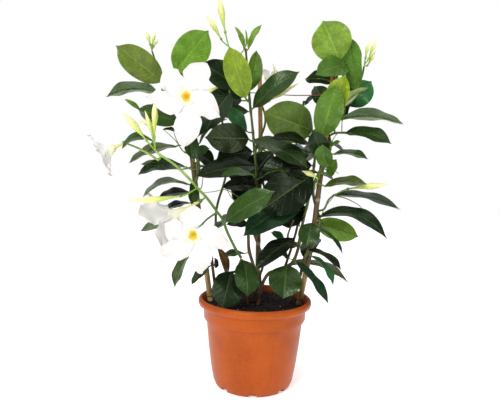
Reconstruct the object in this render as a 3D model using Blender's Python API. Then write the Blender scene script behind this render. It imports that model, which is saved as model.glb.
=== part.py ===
"""A white mandevilla that climbs three canes in a plastic plant pot.

Metres, Z up, with the origin on the ground at the pot's axis. The plant's front faces -Y.
Leaves, stems and flowers are placed in millimetres as a viewer in front of the plant sees them:
how far across and how far up in the upright plane through the pot's axis, and a depth behind it.
"""

import math
import random
from collections import namedtuple

import bpy
from mathutils import Vector
from mathutils.bvhtree import BVHTree

MM = 0.001

# The viewer's eye, and where that viewer reads the pot's axis, in mm
EYE = Vector((-11.6, -690.0, 310.0))
AXIS_READING = 4.5

# Pot, in mm
POT_SIDES = 32
SOIL_SIDES = 24
POT_HEIGHT = 131.0
POT_FOOT_RADIUS = 54.0
POT_LIP_RADIUS = 86.0
POT_FLOOR = 2.6
COLLAR_BOTTOM = 99.0
SLOT_COUNT = 8
SLOT_WIDTH = 11.5
SLOT_HEIGHT = 5.4

# Soil, in mm
SOIL_LEVEL = 121.0
SOIL_BUMP = 1.6
FIT_GAP = 0.35
FOOT_CLEARANCE = 0.2

# Canes, string and stems, in mm
CANE_RADIUS = 4.4
CANE_SIDES = 8
CANE_FOOT = 30.0
CANE_JOINT_SPACING = 78.0
STRING_RADIUS = 0.9
STEM_SIDES = 5
STEM_STEP = 20.0
TWINE_PITCH = 120.0
PETIOLE_THICK = 2.2

# Leaves, in mm
BLADE_THICK = 1.4
LOBE_THICK = 1.4
BLADE_CLEARANCE = 1.2
LEAF_SLENDERNESS = 0.46
LEAF_STATIONS = ((0.0, 0.10), (0.17, 0.74), (0.45, 1.0), (0.77, 0.84), (1.0, 0.05))
FILL_STATIONS = ((0.0, 0.10), (0.25, 0.86), (0.68, 0.94), (1.0, 0.05))
LOBE_STATIONS = ((0.0, 0.44), (0.30, 0.70), (0.68, 1.0), (1.0, 0.42))
PUSHES = (0, -5, 5, -10, 10, -16, 16, -23, 23, -31, 31, 40, 50, 60)
FILL_SPACING = 46.0
FILL_SHELTERED = 0.86
FILL_ARCH = 7.0
FILL_TRIES = 5

# Ellipses of the viewer's plane that foliage fills: across, up, half width, half height, in mm
DENSE_FOLIAGE = (
    (-46, 456, 34, 32), (-50, 376, 40, 40), (8, 322, 78, 48), (42, 268, 42, 44), (106, 402, 30, 66),
    (100, 342, 22, 34), (-14, 150, 32, 36), (54, 156, 28, 26),
)

Shape = namedtuple("Shape", "points faces")
Leaf = namedtuple("Leaf", "base tip seen wide arch under")
Stem = namedtuple("Stem", "name routes radii")


# Places and routes

def at(across, up, depth):
    """The point seen at a place of the pot's plane, at a depth behind that plane."""
    seen = Vector((across - AXIS_READING, 0.0, up))
    return EYE + (seen - EYE) * ((depth - EYE.y) / -EYE.y)


def curve_through(points, step):
    """A smooth Catmull-Rom route through the points, with a point about every step."""
    ends = [points[0] * 2 - points[1]] + list(points) + [points[-1] * 2 - points[-2]]
    route = []
    for a, b, c, d in zip(ends, ends[1:], ends[2:], ends[3:]):
        pieces = max(1, round((c - b).length / step))
        for i in range(pieces):
            t = i / pieces
            route.append(0.5 * (2 * b + (c - a) * t + (2 * a - 5 * b + 4 * c - d) * t * t
                                + (3 * b - a - 3 * c + d) * t ** 3))
    return route + [points[-1]]


def point_at_height(route, height):
    """Where a rising route passes a height."""
    for a, b in zip(route, route[1:]):
        if a.z <= height <= b.z:
            return a.lerp(b, (height - a.z) / (b.z - a.z))
    return route[-1] if height > route[-1].z else route[0]


def nearest_on(routes, point):
    """The nearest point of some routes, with that route's number and its share of the length."""
    best = None
    for number, route in enumerate(routes):
        for i, (a, b) in enumerate(zip(route, route[1:])):
            t = max(0.0, min(1.0, (point - a).dot(b - a) / (b - a).length_squared))
            there = a.lerp(b, t)
            gap = (there - point).length
            if best is None or gap < best[0]:
                best = (gap, there, number, (i + t) / (len(route) - 1))
    return best


# Solids, as points and faces in mm

def tube(route, radii, sides):
    """A closed round bar along a route, with a radius at each of its points."""
    points, faces = [], []
    last = len(route) - 1
    side = (route[1] - route[0]).orthogonal().normalized()
    for i, place in enumerate(route):
        along = (route[min(i + 1, last)] - route[max(i - 1, 0)]).normalized()
        side = (side - along * side.dot(along)).normalized()
        other = along.cross(side)
        for k in range(sides):
            turn = math.tau * k / sides
            points.append(place + (side * math.cos(turn) + other * math.sin(turn)) * radii[i])
    for i in range(last):
        for k in range(sides):
            a, b = i * sides + k, i * sides + (k + 1) % sides
            faces.append((a, b, b + sides, a + sides))
    faces.append(tuple(reversed(range(sides))))
    faces.append(tuple(range(last * sides, (last + 1) * sides)))
    return Shape(points, faces)


def tapered(route, first, end, sides):
    """A tube whose radius runs evenly from first to end."""
    last = len(route) - 1
    return tube(route, [first + (end - first) * i / last for i in range(len(route))], sides)


def turned(profile, sides, centre=Vector(), axis=Vector((0, 0, 1))):
    """A solid turned about an axis from a profile of (radius, height) that starts and ends on it."""
    right = axis.orthogonal().normalized()
    up = axis.cross(right)
    points = [centre + axis * profile[0][1]]
    for radius, height in profile[1:-1]:
        for k in range(sides):
            turn = math.tau * k / sides
            round_it = right * math.cos(turn) + up * math.sin(turn)
            points.append(centre + axis * height + round_it * radius)
    points.append(centre + axis * profile[-1][1])
    faces = []
    rings = len(profile) - 2
    top = len(points) - 1
    for k in range(sides):
        nxt = (k + 1) % sides
        faces.append((0, 1 + nxt, 1 + k))
        for ring in range(rings - 1):
            a, b = 1 + ring * sides + k, 1 + ring * sides + nxt
            faces.append((a, b, b + sides, a + sides))
        faces.append((1 + (rings - 1) * sides + k, 1 + (rings - 1) * sides + nxt, top))
    return Shape(points, faces)


def skin(sections):
    """A closed thin solid over four-cornered sections: left edge, top of rib, right edge, underside."""
    points, faces = [], []
    for rib, half, face, thick, raised_left, raised_right in sections:
        points += [rib - half + face * raised_left, rib + face * (thick / 2),
                   rib + half + face * raised_right, rib - face * (thick / 2)]
    for i in range(len(sections) - 1):
        for k in range(4):
            a, b = i * 4 + k, i * 4 + (k + 1) % 4
            if k % 2:
                faces += [(a, b, a + 4), (b, b + 4, a + 4)]
            else:
                faces += [(a, b, b + 4), (a, b + 4, a + 4)]
    end = (len(sections) - 1) * 4
    faces += [(3, 2, 1), (3, 1, 0), (end, end + 1, end + 3), (end + 1, end + 2, end + 3)]
    return Shape(points, faces)


def blade_sections(base, tip, normal, width, stations, arch, fold, wave, thick):
    """An arched midrib with two halves that fold up along it and wave at their edges."""
    reach = tip - base
    lift = normal * (arch * 4 / 3)
    knots = (base, base + reach / 3 + lift, base + reach * (2 / 3) + lift, tip)
    sections = []
    for s, share in stations:
        r = 1 - s
        rib = knots[0] * r ** 3 + knots[1] * 3 * s * r * r + knots[2] * 3 * s * s * r + knots[3] * s ** 3
        along = ((knots[1] - knots[0]) * r * r + (knots[2] - knots[1]) * 2 * s * r
                 + (knots[3] - knots[2]) * s * s).normalized()
        across = along.cross(normal).normalized()
        half = width * share / 2
        ripple = wave * half * math.sin(math.tau * 1.6 * s + 0.6)
        raised = fold * half
        sections.append((rib, across * half, across.cross(along), thick, raised + ripple, raised - ripple))
    return sections


def petiole_sections(root, base, across, thick):
    """The stalk of a leaf from inside its stem to just before its blade, sagging a little."""
    middle = (root + base) / 2 - Vector((0, 0, 0.10 * (base - root).length))
    along = (base - root).normalized()
    side = (across - along * across.dot(along)).normalized()
    face = side.cross(along)
    return [(place, side * (thick / 2), face, thick, 0, 0) for place in (root, middle)]


# Leaves

def leaf(base, tip, seen=None, wide=None, arch=None, under=False):
    """A leaf from its base to its tip, with the width that shows and whether its underside shows."""
    length = (at(*tip) - at(*base)).length
    wide = wide or max(LEAF_SLENDERNESS * length, seen or 0.0)
    return Leaf(base, tip, seen or wide, wide, 0.07 * length if arch is None else arch, under)


def pushed(spec, depth):
    """The same leaf further from the viewer, or nearer, on the same lines of sight."""
    base = (spec.base[0], spec.base[1], spec.base[2] + depth)
    tip = (spec.tip[0], spec.tip[1], spec.tip[2] + depth)
    return spec._replace(base=base, tip=tip)


def leaf_normal(base, tip, spec):
    """Which way the leaf's upper face looks, turned from the viewer as far as its narrow look says."""
    along = (tip - base).normalized()
    view = (EYE - (base + tip) / 2).normalized()
    upward = view.cross(along).normalized()
    if abs(upward.z) > 0.3:
        upward *= math.copysign(1, upward.z)
    else:
        upward *= math.copysign(1, -upward.x * (base + tip).x)
    facing = (view - along * view.dot(along)).normalized()
    turn = math.acos(min(1.0, spec.seen / spec.wide))
    return facing * (math.cos(turn) * (-1 if spec.under else 1)) + upward * math.sin(turn)


def leaf_solid(root, base, tip, normal, width, arch, extra=0.0, stations=LEAF_STATIONS):
    """One leaf with its petiole, whose root is sunk in the stem. Extra makes it fatter, for clearance."""
    blade = blade_sections(base, tip, normal, width + extra, stations, arch, 0.16, 0.10,
                           BLADE_THICK + extra)
    return skin(petiole_sections(root, base, blade[0][1].normalized(), PETIOLE_THICK) + blade)


def placed_leaf(spec, routes, extra=0.0):
    """A hand-placed leaf on the nearest stretch of its stem."""
    base, tip = at(*spec.base), at(*spec.tip)
    _, root, _, _ = nearest_on(routes, base)
    return leaf_solid(root, base, tip, leaf_normal(base, tip, spec), spec.wide, spec.arch, extra)


# What stands where: every solid placed so far, for keeping the next ones clear

placed = []


def tree_of(shape):
    return BVHTree.FromPolygons(shape.points, shape.faces)


def note(owner, shape):
    placed.append((owner, tree_of(shape)))


def crosses(shape, skip=()):
    tree = tree_of(shape)
    return any(other.overlap(tree) for owner, other in placed if owner not in skip)


def in_dense_foliage(point):
    """Whether the viewer sees a point within the foliage that has no gaps."""
    seen = EYE + (point - EYE) * (EYE.y / (EYE.y - point.y))
    across, up = seen.x + AXIS_READING, seen.z
    return any(((across - x) / w) ** 2 + ((up - z) / h) ** 2 < 1 for x, z, w, h in DENSE_FOLIAGE)


def hidden(point):
    """Whether something placed stands between a point and the viewer."""
    way = EYE - point
    start = point + way.normalized() * 3
    return any(tree.ray_cast(start, way.normalized(), way.length)[0] for _, tree in placed)


def sheltered_share(points):
    """The share of the points that are hidden or within the dense foliage."""
    return sum(in_dense_foliage(p) or hidden(p) for p in points) / len(points)


# Turning shapes into named objects

def material(name, colour, roughness):
    made = bpy.data.materials.new(name)
    made.use_nodes = True
    shader = made.node_tree.nodes["Principled BSDF"]
    shader.inputs["Base Color"].default_value = (*colour, 1)
    shader.inputs["Roughness"].default_value = roughness
    shader.inputs["Metallic"].default_value = 0
    made.diffuse_color = (*colour, 1)
    return made


def make_object(name, shape, collection=None):
    mesh = bpy.data.meshes.new(name)
    mesh.from_pydata([p * MM for p in shape.points], [], shape.faces)
    made = bpy.data.objects.new(name, mesh)
    (collection or bpy.context.scene.collection).objects.link(made)
    return made


def combine(target, others, operation, solver):
    """Applies one Boolean of a whole collection to the target, then removes that collection."""
    group = bpy.data.collections.new(target.name + "_parts")
    bpy.context.scene.collection.children.link(group)
    for i, shape in enumerate(others):
        make_object(f"{target.name}_part_{i}", shape, group)
    step = target.modifiers.new("combine", "BOOLEAN")
    step.operation = operation
    step.solver = solver
    step.operand_type = "COLLECTION"
    step.collection = group
    bpy.context.view_layer.update()
    graph = bpy.context.evaluated_depsgraph_get()
    result = bpy.data.meshes.new_from_object(target.evaluated_get(graph))
    target.modifiers.clear()
    target.data = result
    for part in list(group.objects):
        bpy.data.objects.remove(part)
    bpy.data.collections.remove(group)


def finish(name, shapes, colour, roughness, cuts=()):
    """One named object from overlapping shapes, less some cuts, in its own material."""
    made = make_object(name, shapes[0])
    if len(shapes) > 1:
        combine(made, shapes[1:], "UNION", "MANIFOLD")
    if cuts:
        combine(made, cuts, "DIFFERENCE", "EXACT")
    made.data.materials.clear()
    made.data.materials.append(material(name, colour, roughness))
    made.data.shade_smooth()
    made.data.set_sharp_from_angle(angle=math.radians(40))
    return made


# Pot and soil

def pot_profile():
    """Foot, tapered wall, the step under the collar, and a rolled lip, then down the inside."""
    lip_inner = POT_LIP_RADIUS - 6.5
    return [
        (0, 0), (POT_FOOT_RADIUS, 0), (59, 4), (61, 9), (65, 30), (73.4, COLLAR_BOTTOM),
        (77.2, COLLAR_BOTTOM + 1.6), (77.8, 118), (81, 119.2), (85, 121), (POT_LIP_RADIUS, 125),
        (84.8, 129.6), (82, POT_HEIGHT), (lip_inner, POT_HEIGHT - 2.4), (76, 122),
        (75.4, COLLAR_BOTTOM + 3.6), (71.4, COLLAR_BOTTOM + 1.4), (67.2, 60), (63.2, 30), (59, 9.4),
        (57, 5), (54, POT_FLOOR), (0, POT_FLOOR),
    ]


def pot_slots():
    """Blocks that cut the drain slots out of the corner between the floor and the wall."""
    blocks = []
    for i in range(SLOT_COUNT):
        turn = math.tau * i / SLOT_COUNT - math.pi / 2
        outward = Vector((math.cos(turn), math.sin(turn), 0))
        aside = Vector((-outward.y, outward.x, 0)) * (SLOT_WIDTH / 2)
        near, far = outward * 50.7, outward * 68.3
        low, high = Vector((0, 0, -3)), Vector((0, 0, SLOT_HEIGHT))
        corners = [near - aside, far - aside, far + aside, near + aside]
        points = [c + low for c in corners] + [c + high for c in corners]
        sides = [(0, 1, 5, 4), (1, 2, 6, 5), (2, 3, 7, 6), (3, 0, 4, 7)]
        blocks.append(Shape(points, [(3, 2, 1, 0), (4, 5, 6, 7)] + sides))
    return blocks


def soil_shape(rng):
    """The potting mix: the pot's inside less a small gap, under a lumpy, slightly crowned top."""
    rim = 75.1 - FIT_GAP
    wall = [(0, POT_FLOOR + FIT_GAP), (53.4, POT_FLOOR + FIT_GAP), (56.1, 5.2), (58.1, 8.9)]
    wall += [(62.6, 30), (70.4, COLLAR_BOTTOM + 0.6), (rim - 0.4, COLLAR_BOTTOM + 5.5)]
    top_radii = (rim, 62, 48, 34, 20, 9)
    top = [(radius, SOIL_LEVEL) for radius in top_radii]
    shape = turned(wall + top + [(0, SOIL_LEVEL + 2)], SOIL_SIDES)
    first = 1 + SOIL_SIDES * (len(wall) - 1)
    for i in range(first, len(shape.points)):
        point = shape.points[i]
        share = 1 - math.hypot(point.x, point.y) / rim
        point.z += 2.5 * share + rng.uniform(-SOIL_BUMP, SOIL_BUMP)
    return shape


# Canes and their string

def cane_route(readings):
    """A cane through some readings, run on down into the soil."""
    seen = [at(*r) for r in readings]
    slope = (seen[1] - seen[0]) / (seen[1].z - seen[0].z)
    foot = seen[0] + slope * (CANE_FOOT - seen[0].z)
    return curve_through([foot] + seen, 36)


def cane_shape(route):
    """A bamboo cane, a little thicker at each joint and thinner at its top."""
    radii = []
    for point in route:
        swell = 0.35 * math.exp(-(((point.z - 40) % CANE_JOINT_SPACING - 12) / 9) ** 2)
        radii.append(CANE_RADIUS + swell - 0.9 * point.z / 480)
    return tube(route, radii, CANE_SIDES)


CANES = {
    "cane_left": [(-63.5, 122, 5), (-92, 310, 5), (-104, 400, 6), (-112, 458, 8)],
    "cane_centre": [(8, 137, 60), (7, 220, 63), (6, 380, 70), (4, 425, 72), (2, 472, 74)],
    "cane_right": [(72.5, 122, -2), (87, 205, -3), (97, 300, -2), (105, 380, 0), (112, 468, 2)],
}
STRING_HEIGHT = {"cane_left": 446, "cane_centre": 453, "cane_right": 440}


def string_shapes(routes):
    """A loop round each cane and the two stretches between them."""
    places = {name: point_at_height(routes[name], height) for name, height in STRING_HEIGHT.items()}
    loop_radius = CANE_RADIUS + STRING_RADIUS + FIT_GAP
    shapes = []
    for name in ("cane_left", "cane_right"):
        a, b = places["cane_centre"], places[name]
        out = (b - a).normalized() * loop_radius
        shapes.append(tapered([a + out, a.lerp(b, 0.5) - Vector((0, 0, 2)), b - out],
                              STRING_RADIUS, STRING_RADIUS, 4))
    for centre in places.values():
        ring = []
        for i in range(9):
            turn = math.tau * i / 8
            ring.append(centre + Vector((math.cos(turn), math.sin(turn), 0)) * loop_radius)
        for half in (ring[:5], ring[4:]):
            shapes.append(tapered(half, STRING_RADIUS, STRING_RADIUS, 4))
    return shapes


# Stems

def twining(cane, low, high, turns_from, distance):
    """A helix round a cane from one height to another."""
    route = []
    steps = max(2, round((high - low) / 13))
    for i in range(steps + 1):
        height = low + (high - low) * i / steps
        centre = point_at_height(cane, height)
        turn = turns_from + math.tau * (height - low) / TWINE_PITCH
        route.append(centre + Vector((math.cos(turn), math.sin(turn), 0)) * distance)
    return route


def stem_routes(main, branches):
    """A stem's own route, and its branches, each from the nearest point of what it grows from."""
    routes = [main]
    for readings in branches:
        points = [at(*r) for r in readings]
        _, root, _, _ = nearest_on(routes, points[0])
        routes.append(curve_through([root] + points, STEM_STEP))
    return routes


def stem_shapes(routes, radii):
    """The stem and its thinner branches as round bars."""
    shapes = [tapered(routes[0], radii[0], radii[1], STEM_SIDES)]
    for route in routes[1:]:
        shapes.append(tapered(route, radii[1] * 0.95, radii[1] * 0.75, 5))
    return shapes


def seated(stem, readings, radius):
    """A stalk's route from its readings, with its foot just off the stem's side or its end."""
    points = [at(*r) for r in readings]
    _, root, number, share = nearest_on(stem.routes, points[0])
    thick = stem.radii[0] + (stem.radii[1] - stem.radii[0]) * share if number == 0 else stem.radii[1] * 0.95
    away = (points[1] - root).normalized()
    clear = thick + FIT_GAP + FOOT_CLEARANCE
    if share > 0.999:
        route = stem.routes[number]
        lean = min(1.4, away.angle(route[-1] - route[-2]))
        over_end = max(1.0, FIT_GAP + 0.1 + radius * math.sin(lean)) / math.cos(lean)
        clear = min(over_end, clear / max(math.sin(lean), 0.01))
    points[0] = root + away * clear
    return curve_through(points, STEM_STEP)


# Flowers and buds

def lobe_shape(mouth, axis, angle, length, width, lift):
    """One corolla lobe, spreading from the throat's rim."""
    right = (Vector((1, 0, 0)) - axis * axis.x).normalized()
    up = axis.cross(right)
    outward = right * math.cos(math.radians(angle)) + up * math.sin(math.radians(angle))
    base = mouth + outward * 7.5 - axis * 4
    tip = mouth + outward * length + axis * lift
    return skin(blade_sections(base, tip, axis, width, LOBE_STATIONS, 0.05 * length + 3, 0.02, 0.14,
                               LOBE_THICK))


def bloom_shapes(base, mouth, lobes, lift):
    """A funnel-shaped corolla: narrow tube, wide throat and five lobes."""
    axis = (mouth - base).normalized()
    long = (mouth - base).length
    funnel = turned([
        (0, -long), (1.9, -long), (2.3, -0.55 * long), (5.6, -0.42 * long), (8.2, -0.16 * long),
        (12, 0), (10.8, 0.6), (7.2, -0.15 * long), (4.2, -0.38 * long), (0, -0.46 * long),
    ], 8, mouth, axis)
    return [funnel] + [lobe_shape(mouth, axis, *lobe, lift) for lobe in lobes]


def bud_shape(points, width):
    """A furled bud: thin stalk, small calyx, slim tube, swelling, pointed tip."""
    route = curve_through(points, (points[-1] - points[0]).length / 6)
    last = len(route) - 1
    profile = ((0, 0.9), (0.18, 1.0), (0.26, 1.7), (0.36, 1.5), (0.50, width * 0.3),
               (0.70, width * 0.5), (0.86, width * 0.40), (1.0, 0.5))
    radii = []
    for i in range(len(route)):
        s = i / last
        for (s0, r0), (s1, r1) in zip(profile, profile[1:]):
            if s0 <= s <= s1:
                radii.append(r0 + (r1 - r0) * (s - s0) / (s1 - s0))
                break
    return tube(route, radii, 5)


# Hand-placed leaves: (across, up, depth) of base and tip, the width that shows, and the true width

LEAVES = {
    "stem_left": [
        leaf((-143, 453, -3), (-214, 504, -28), seen=42),
        leaf((-124, 468, -4), (-76, 530, -22), seen=50),
        leaf((-150, 436, 2), (-228, 427, -18), seen=17, wide=38, arch=10, under=True),
        leaf((-118, 393, 16), (-180, 411, 6), seen=30),
        leaf((-176, 409, 8), (-200, 425, 4), seen=7, wide=9),
        leaf((-118, 379, 8), (-142, 381, 0), seen=5, wide=14),
        leaf((-122, 357, 6), (-192, 329, -14), seen=14, wide=34, arch=7),
        leaf((-108, 327, 0), (-178, 312, -24), seen=17, wide=34, arch=8),
        leaf((-112, 322, 22), (-174, 328, 26), seen=16, wide=28),
        leaf((-103, 301, -6), (-170, 278, -28), seen=9, wide=34, arch=12),
        leaf((-98, 287, 6), (-146, 279, -8), seen=13, wide=26),
        leaf((-100, 272, 0), (-141, 256, -16), seen=10, wide=24),
        leaf((-96, 262, 14), (-127, 240, 20), seen=12, wide=22),
        leaf((-104, 250, 18), (-173, 226, 22), seen=20, wide=30),
        leaf((-94, 202, -4), (-119, 141, -16), seen=15, wide=28, under=True),
        leaf((-66, 176, 0), (-93, 146, -14), seen=12, wide=20),
        leaf((-57, 188, 0), (-57, 172, -6), seen=7, wide=10),
        leaf((-97, 340, 0), (-70, 355, -14), seen=14, wide=20),
        leaf((-98, 372, 2), (-66, 402, -22), seen=22, wide=26),
        leaf((-114, 432, 26), (-92, 486, 22), seen=26, wide=34),
        leaf((-100, 352, 20), (-62, 330, 34), seen=24, wide=32),
        leaf((-104, 384, -4), (-98, 338, -14), seen=22, wide=26),
        leaf((-94, 304, -8), (-96, 270, -14), seen=16, wide=22),
    ],
    "stem_centre_left": [
        leaf((-18, 432, -2), (-45, 508, -26), seen=38, arch=4),
        leaf((-13, 442, 22), (-4, 503, 14), seen=24, wide=28),
        leaf((-22, 505, 12), (-37, 537, 4), seen=7, wide=12),
        leaf((-16, 505, 22), (3, 541, 20), seen=9, wide=14),
        leaf((-20, 507, 18), (-21, 533, 14), seen=3, wide=5),
        leaf((-6, 418, 12), (62, 473, -12), seen=29, wide=36, arch=8),
        leaf((-34, 448, 8), (-84, 482, -6), seen=38, wide=42),
        leaf((-42, 438, 4), (-78, 380, -20), seen=36, wide=40),
        leaf((-44, 455, 2), (-61, 478, -8), seen=10, wide=14),
        leaf((-15, 382, 12), (-55, 419, -6), seen=21, wide=28),
        leaf((-12, 371, 6), (-78, 371, -30), seen=44, arch=3),
        leaf((0, 330, 4), (-90, 312, -38), seen=30, wide=38),
        leaf((-4, 318, -12), (-52, 313, -44), seen=11, wide=24),
        leaf((-3, 370, 2), (80, 329, -38), seen=27, wide=38, arch=8),
        leaf((-14, 412, 30), (-66, 404, 20), seen=22, wide=30),
        leaf((2, 300, 12), (-50, 296, 0), seen=20, wide=28),
        leaf((-8, 242, 4), (-42, 240, -10), seen=14, wide=20),
        leaf((-14, 197, 4), (-51, 187, -4), seen=10, wide=20, arch=4),
        leaf((-24, 428, 32), (-80, 428, 22), seen=34, wide=40),
        leaf((4, 262, 26), (-38, 304, 18), seen=34, wide=40),
        leaf((-6, 352, 30), (-60, 338, 22), seen=36, wide=42),
    ],
    "stem_centre_right": [
        leaf((84, 386, -2), (9, 412, -34), seen=58, arch=5),
        leaf((84, 318, -2), (8, 262, -34), seen=62, wide=62, arch=5),
        leaf((76, 290, -16), (-16, 223, -52), seen=44, wide=48, arch=8),
        leaf((82, 300, -24), (54, 255, -56), seen=22, wide=30),
        leaf((86, 360, 2), (20, 371, -26), seen=13, wide=30, arch=8),
        leaf((62, 222, -10), (4, 172, -36), seen=26, wide=34),
        leaf((52, 180, -22), (48, 128, -54), seen=48, wide=48, arch=3),
        leaf((50, 180, -18), (148, 155, -48), seen=11, wide=34, arch=16),
        leaf((66, 186, 4), (118, 122, -12), seen=13, wide=30, arch=4),
        leaf((70, 215, 2), (54, 206, -14), seen=12, wide=16),
        leaf((48, 216, 4), (26, 230, -6), seen=12, wide=18),
        leaf((54, 192, 2), (40, 200, -6), seen=9, wide=14),
        leaf((80, 270, 8), (44, 240, 22), seen=30, wide=36),
        leaf((84, 334, 14), (6, 316, 26), seen=46, wide=50),
        leaf((84, 302, 14), (26, 296, 32), seen=40, wide=46),
    ],
    "stem_right": [
        leaf((121, 492, -2), (94, 549, -18), seen=58, arch=4),
        leaf((148, 448, 8), (136, 527, -2), seen=34, wide=40, arch=5),
        leaf((134, 484, 4), (86, 469, -22), seen=30, wide=36, arch=6),
        leaf((116, 458, -4), (70, 462, -22), seen=20, wide=28, arch=6, under=True),
        leaf((116, 402, -14), (131, 471, -40), seen=33, wide=38, arch=6),
        leaf((98, 376, -16), (118, 456, -34), seen=40, arch=5),
        leaf((138, 424, 22), (170, 462, 8), seen=38, arch=4),
        leaf((124, 404, 4), (221, 399, -22), seen=16, wide=38, arch=9, under=True),
        leaf((134, 384, -2), (204, 369, -30), seen=19, wide=34, arch=8),
        leaf((118, 352, -6), (170, 345, -24), seen=10, wide=26, arch=5),
        leaf((103, 345, -14), (84, 386, -26), seen=28),
        leaf((112, 363, -12), (127, 371, -18), seen=6, wide=9),
        leaf((106, 303, -8), (170, 307, -26), seen=14, wide=28, arch=6),
        leaf((122, 290, 2), (222, 270, -18), seen=13, wide=34, arch=8),
        leaf((98, 256, -4), (204, 224, -34), seen=20, wide=36, arch=24),
        leaf((94, 247, 10), (160, 227, 4), seen=34, arch=4, under=True),
        leaf((100, 238, -12), (137, 199, -22), seen=5, wide=18, arch=5),
        leaf((82, 205, -4), (136, 174, -26), seen=9, wide=28, arch=7),
        leaf((90, 196, -12), (124, 151, -34), seen=9, wide=26, arch=6),
        leaf((88, 246, -10), (80, 209, -26), seen=32, arch=3),
        leaf((108, 420, 22), (84, 452, 30), seen=30, wide=34),
        leaf((128, 402, -2), (133, 426, -8), seen=4, wide=7),
        leaf((120, 412, -10), (165, 452, -36), seen=13, wide=30, arch=6, under=True),
        leaf((110, 330, -12), (100, 366, -30), seen=24, wide=28),
        leaf((112, 318, -10), (122, 344, -22), seen=16, wide=20),
        leaf((128, 402, 6), (134, 444, 2), seen=22, wide=26),
    ],
    "stem_base_front": [
        leaf((-34, 168, -28), (-46, 110, -60), seen=44, wide=46, arch=3),
        leaf((-14, 186, -22), (-6, 131, -46), seen=36, wide=38, arch=3),
        leaf((-37, 168, -24), (-54, 205, -32), seen=11, wide=14),
    ],
    "flowering_shoot": [
        leaf((-42, 246, -46), (30, 293, -74), seen=33, wide=36, arch=6),
        leaf((-156, 364, -28), (-203, 350, -44), seen=11, wide=24, arch=12),
    ],
    "stem_back_centre": [
        leaf((24, 352, 50), (-12, 298, 44), seen=44, wide=48),
        leaf((2, 300, 50), (-46, 332, 40), seen=42, wide=46),
        leaf((0, 262, 48), (-36, 294, 40), seen=32, wide=36),
    ],
    "stem_back_right": [
        leaf((58, 262, 50), (4, 250, 44), seen=42, wide=46),
        leaf((72, 424, 36), (84, 438, 34), seen=7, wide=10),
    ],
}

# Stems: where the main route runs, and its side branches

BRANCHES = {
    "stem_left": [
        [(-122, 420, 14), (-141, 436, 7), (-143, 450, 3), (-130, 465, 0)],
        [(-148, 466, 5), (-155, 484, 5), (-160, 498, 3)],
    ],
    "stem_right": [
        [(119, 404, 10), (131, 412, 14), (143, 436, 13), (150, 452, 11), (156, 470, 9), (158, 484, 7)],
        [(106, 268, 0), (112, 282, 0), (121, 290, 1)],
        [(118, 383, -2), (134, 384, -3)],
    ],
    "stem_centre_left": [
        [(-24, 484, 18), (-36, 498, 14), (-45, 506, 10)],
        [(-26, 449, 18), (-38, 452, 10), (-46, 453, 4)],
    ],
    "stem_centre_right": [
        [(56, 216, -2), (52, 226, -4), (60, 250, -8)],
    ],
    "stem_base_front": [
        [(-28, 168, -22), (-36, 166, -26)],
    ],
    "flowering_shoot": [
        [(-60, 256, -40), (-72, 247, -32), (-79, 239, -26)],
        [(-147, 335, -28), (-160, 343, -24), (-178, 352, -24), (-194, 358, -27)],
    ],
}

STEM_READINGS = {
    "stem_centre_left": [
        (2, 98, 0), (3, 130, -2), (8, 148, -2), (2, 175, 2), (-6, 200, 8), (-8, 235, 14), (-4, 270, 18),
        (2, 310, 20), (-2, 350, 22), (-6, 385, 24), (-12, 430, 26), (-16, 470, 24), (-20, 505, 18),
    ],
    "stem_centre_right": [
        (10, 98, -12), (11, 132, -14), (16, 152, -14), (26, 168, -14), (44, 173, -14), (60, 184, -10),
        (68, 205, -5), (72, 235, 0), (78, 265, 2), (84, 295, 4), (88, 330, 6), (90, 365, 6), (88, 388, 2),
    ],
    "stem_base_front": [
        (-6, 98, -16), (-8, 128, -18), (-16, 150, -20), (-23, 170, -20), (-17, 188, -18),
    ],
    "stem_back_left": [
        (-22, 100, 30), (-30, 140, 35), (-52, 200, 46), (-58, 260, 52), (-44, 320, 56), (-50, 380, 50),
        (-58, 430, 40),
    ],
    "stem_back_right": [
        (28, 100, 30), (36, 140, 38), (56, 200, 50), (68, 260, 54), (58, 320, 56), (62, 380, 50),
        (70, 430, 38),
    ],
    "flowering_shoot": [
        (-17, 190, -24), (-28, 205, -30), (-40, 228, -38), (-48, 248, -42), (-55, 257, -44), (-72, 279, -46),
        (-86, 293, -46), (-95, 303, -45), (-105, 313, -42), (-118, 325, -40), (-130, 334, -36),
        (-142, 341, -34), (-151, 348, -32),
    ],
}

STEM_RADII = {
    "stem_left": (2.6, 1.8), "stem_right": (2.6, 1.8), "stem_centre_left": (2.8, 1.6),
    "stem_centre_right": (2.8, 1.8), "stem_base_front": (2.6, 2.0), "stem_back_centre": (2.4, 1.7),
    "stem_back_left": (2.4, 1.6), "stem_back_right": (2.4, 1.6), "flowering_shoot": (2.1, 1.8),
}

# Flowers: tube base, mouth, then (angle, length, width) of each lobe, and how far the tips lean out

BLOOMS = {
    "bloom_a": ((-102, 434, -26), (-108, 431, -74),
                ((63, 52, 36), (135, 44, 34), (207, 46, 36), (279, 66, 38), (351, 49, 36)), 2),
    "bloom_b": ((-86, 231, -30), (-93, 221, -78),
                ((95, 42, 34), (12, 48, 34), (300, 50, 36), (230, 48, 34), (165, 40, 32)), 2),
    "bloom_c": ((-84, 274, -44), (-124, 250, -34),
                ((80, 42, 32), (8, 40, 30), (296, 44, 32), (224, 44, 32), (152, 42, 32)), 6),
    "bloom_d": ((-200, 359, -28), (-226, 346, -34),
                ((90, 26, 24), (18, 30, 26), (306, 40, 28), (234, 38, 28), (162, 28, 24)), 10),
    "bloom_e": ((15, 437, 96), (18, 461, 96),
                ((90, 18, 16), (18, 18, 16), (306, 18, 16), (234, 18, 16), (162, 18, 16)), 12),
}

# Bud sprays: the stem they stand on, stalks, and buds as (readings, width)

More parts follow.
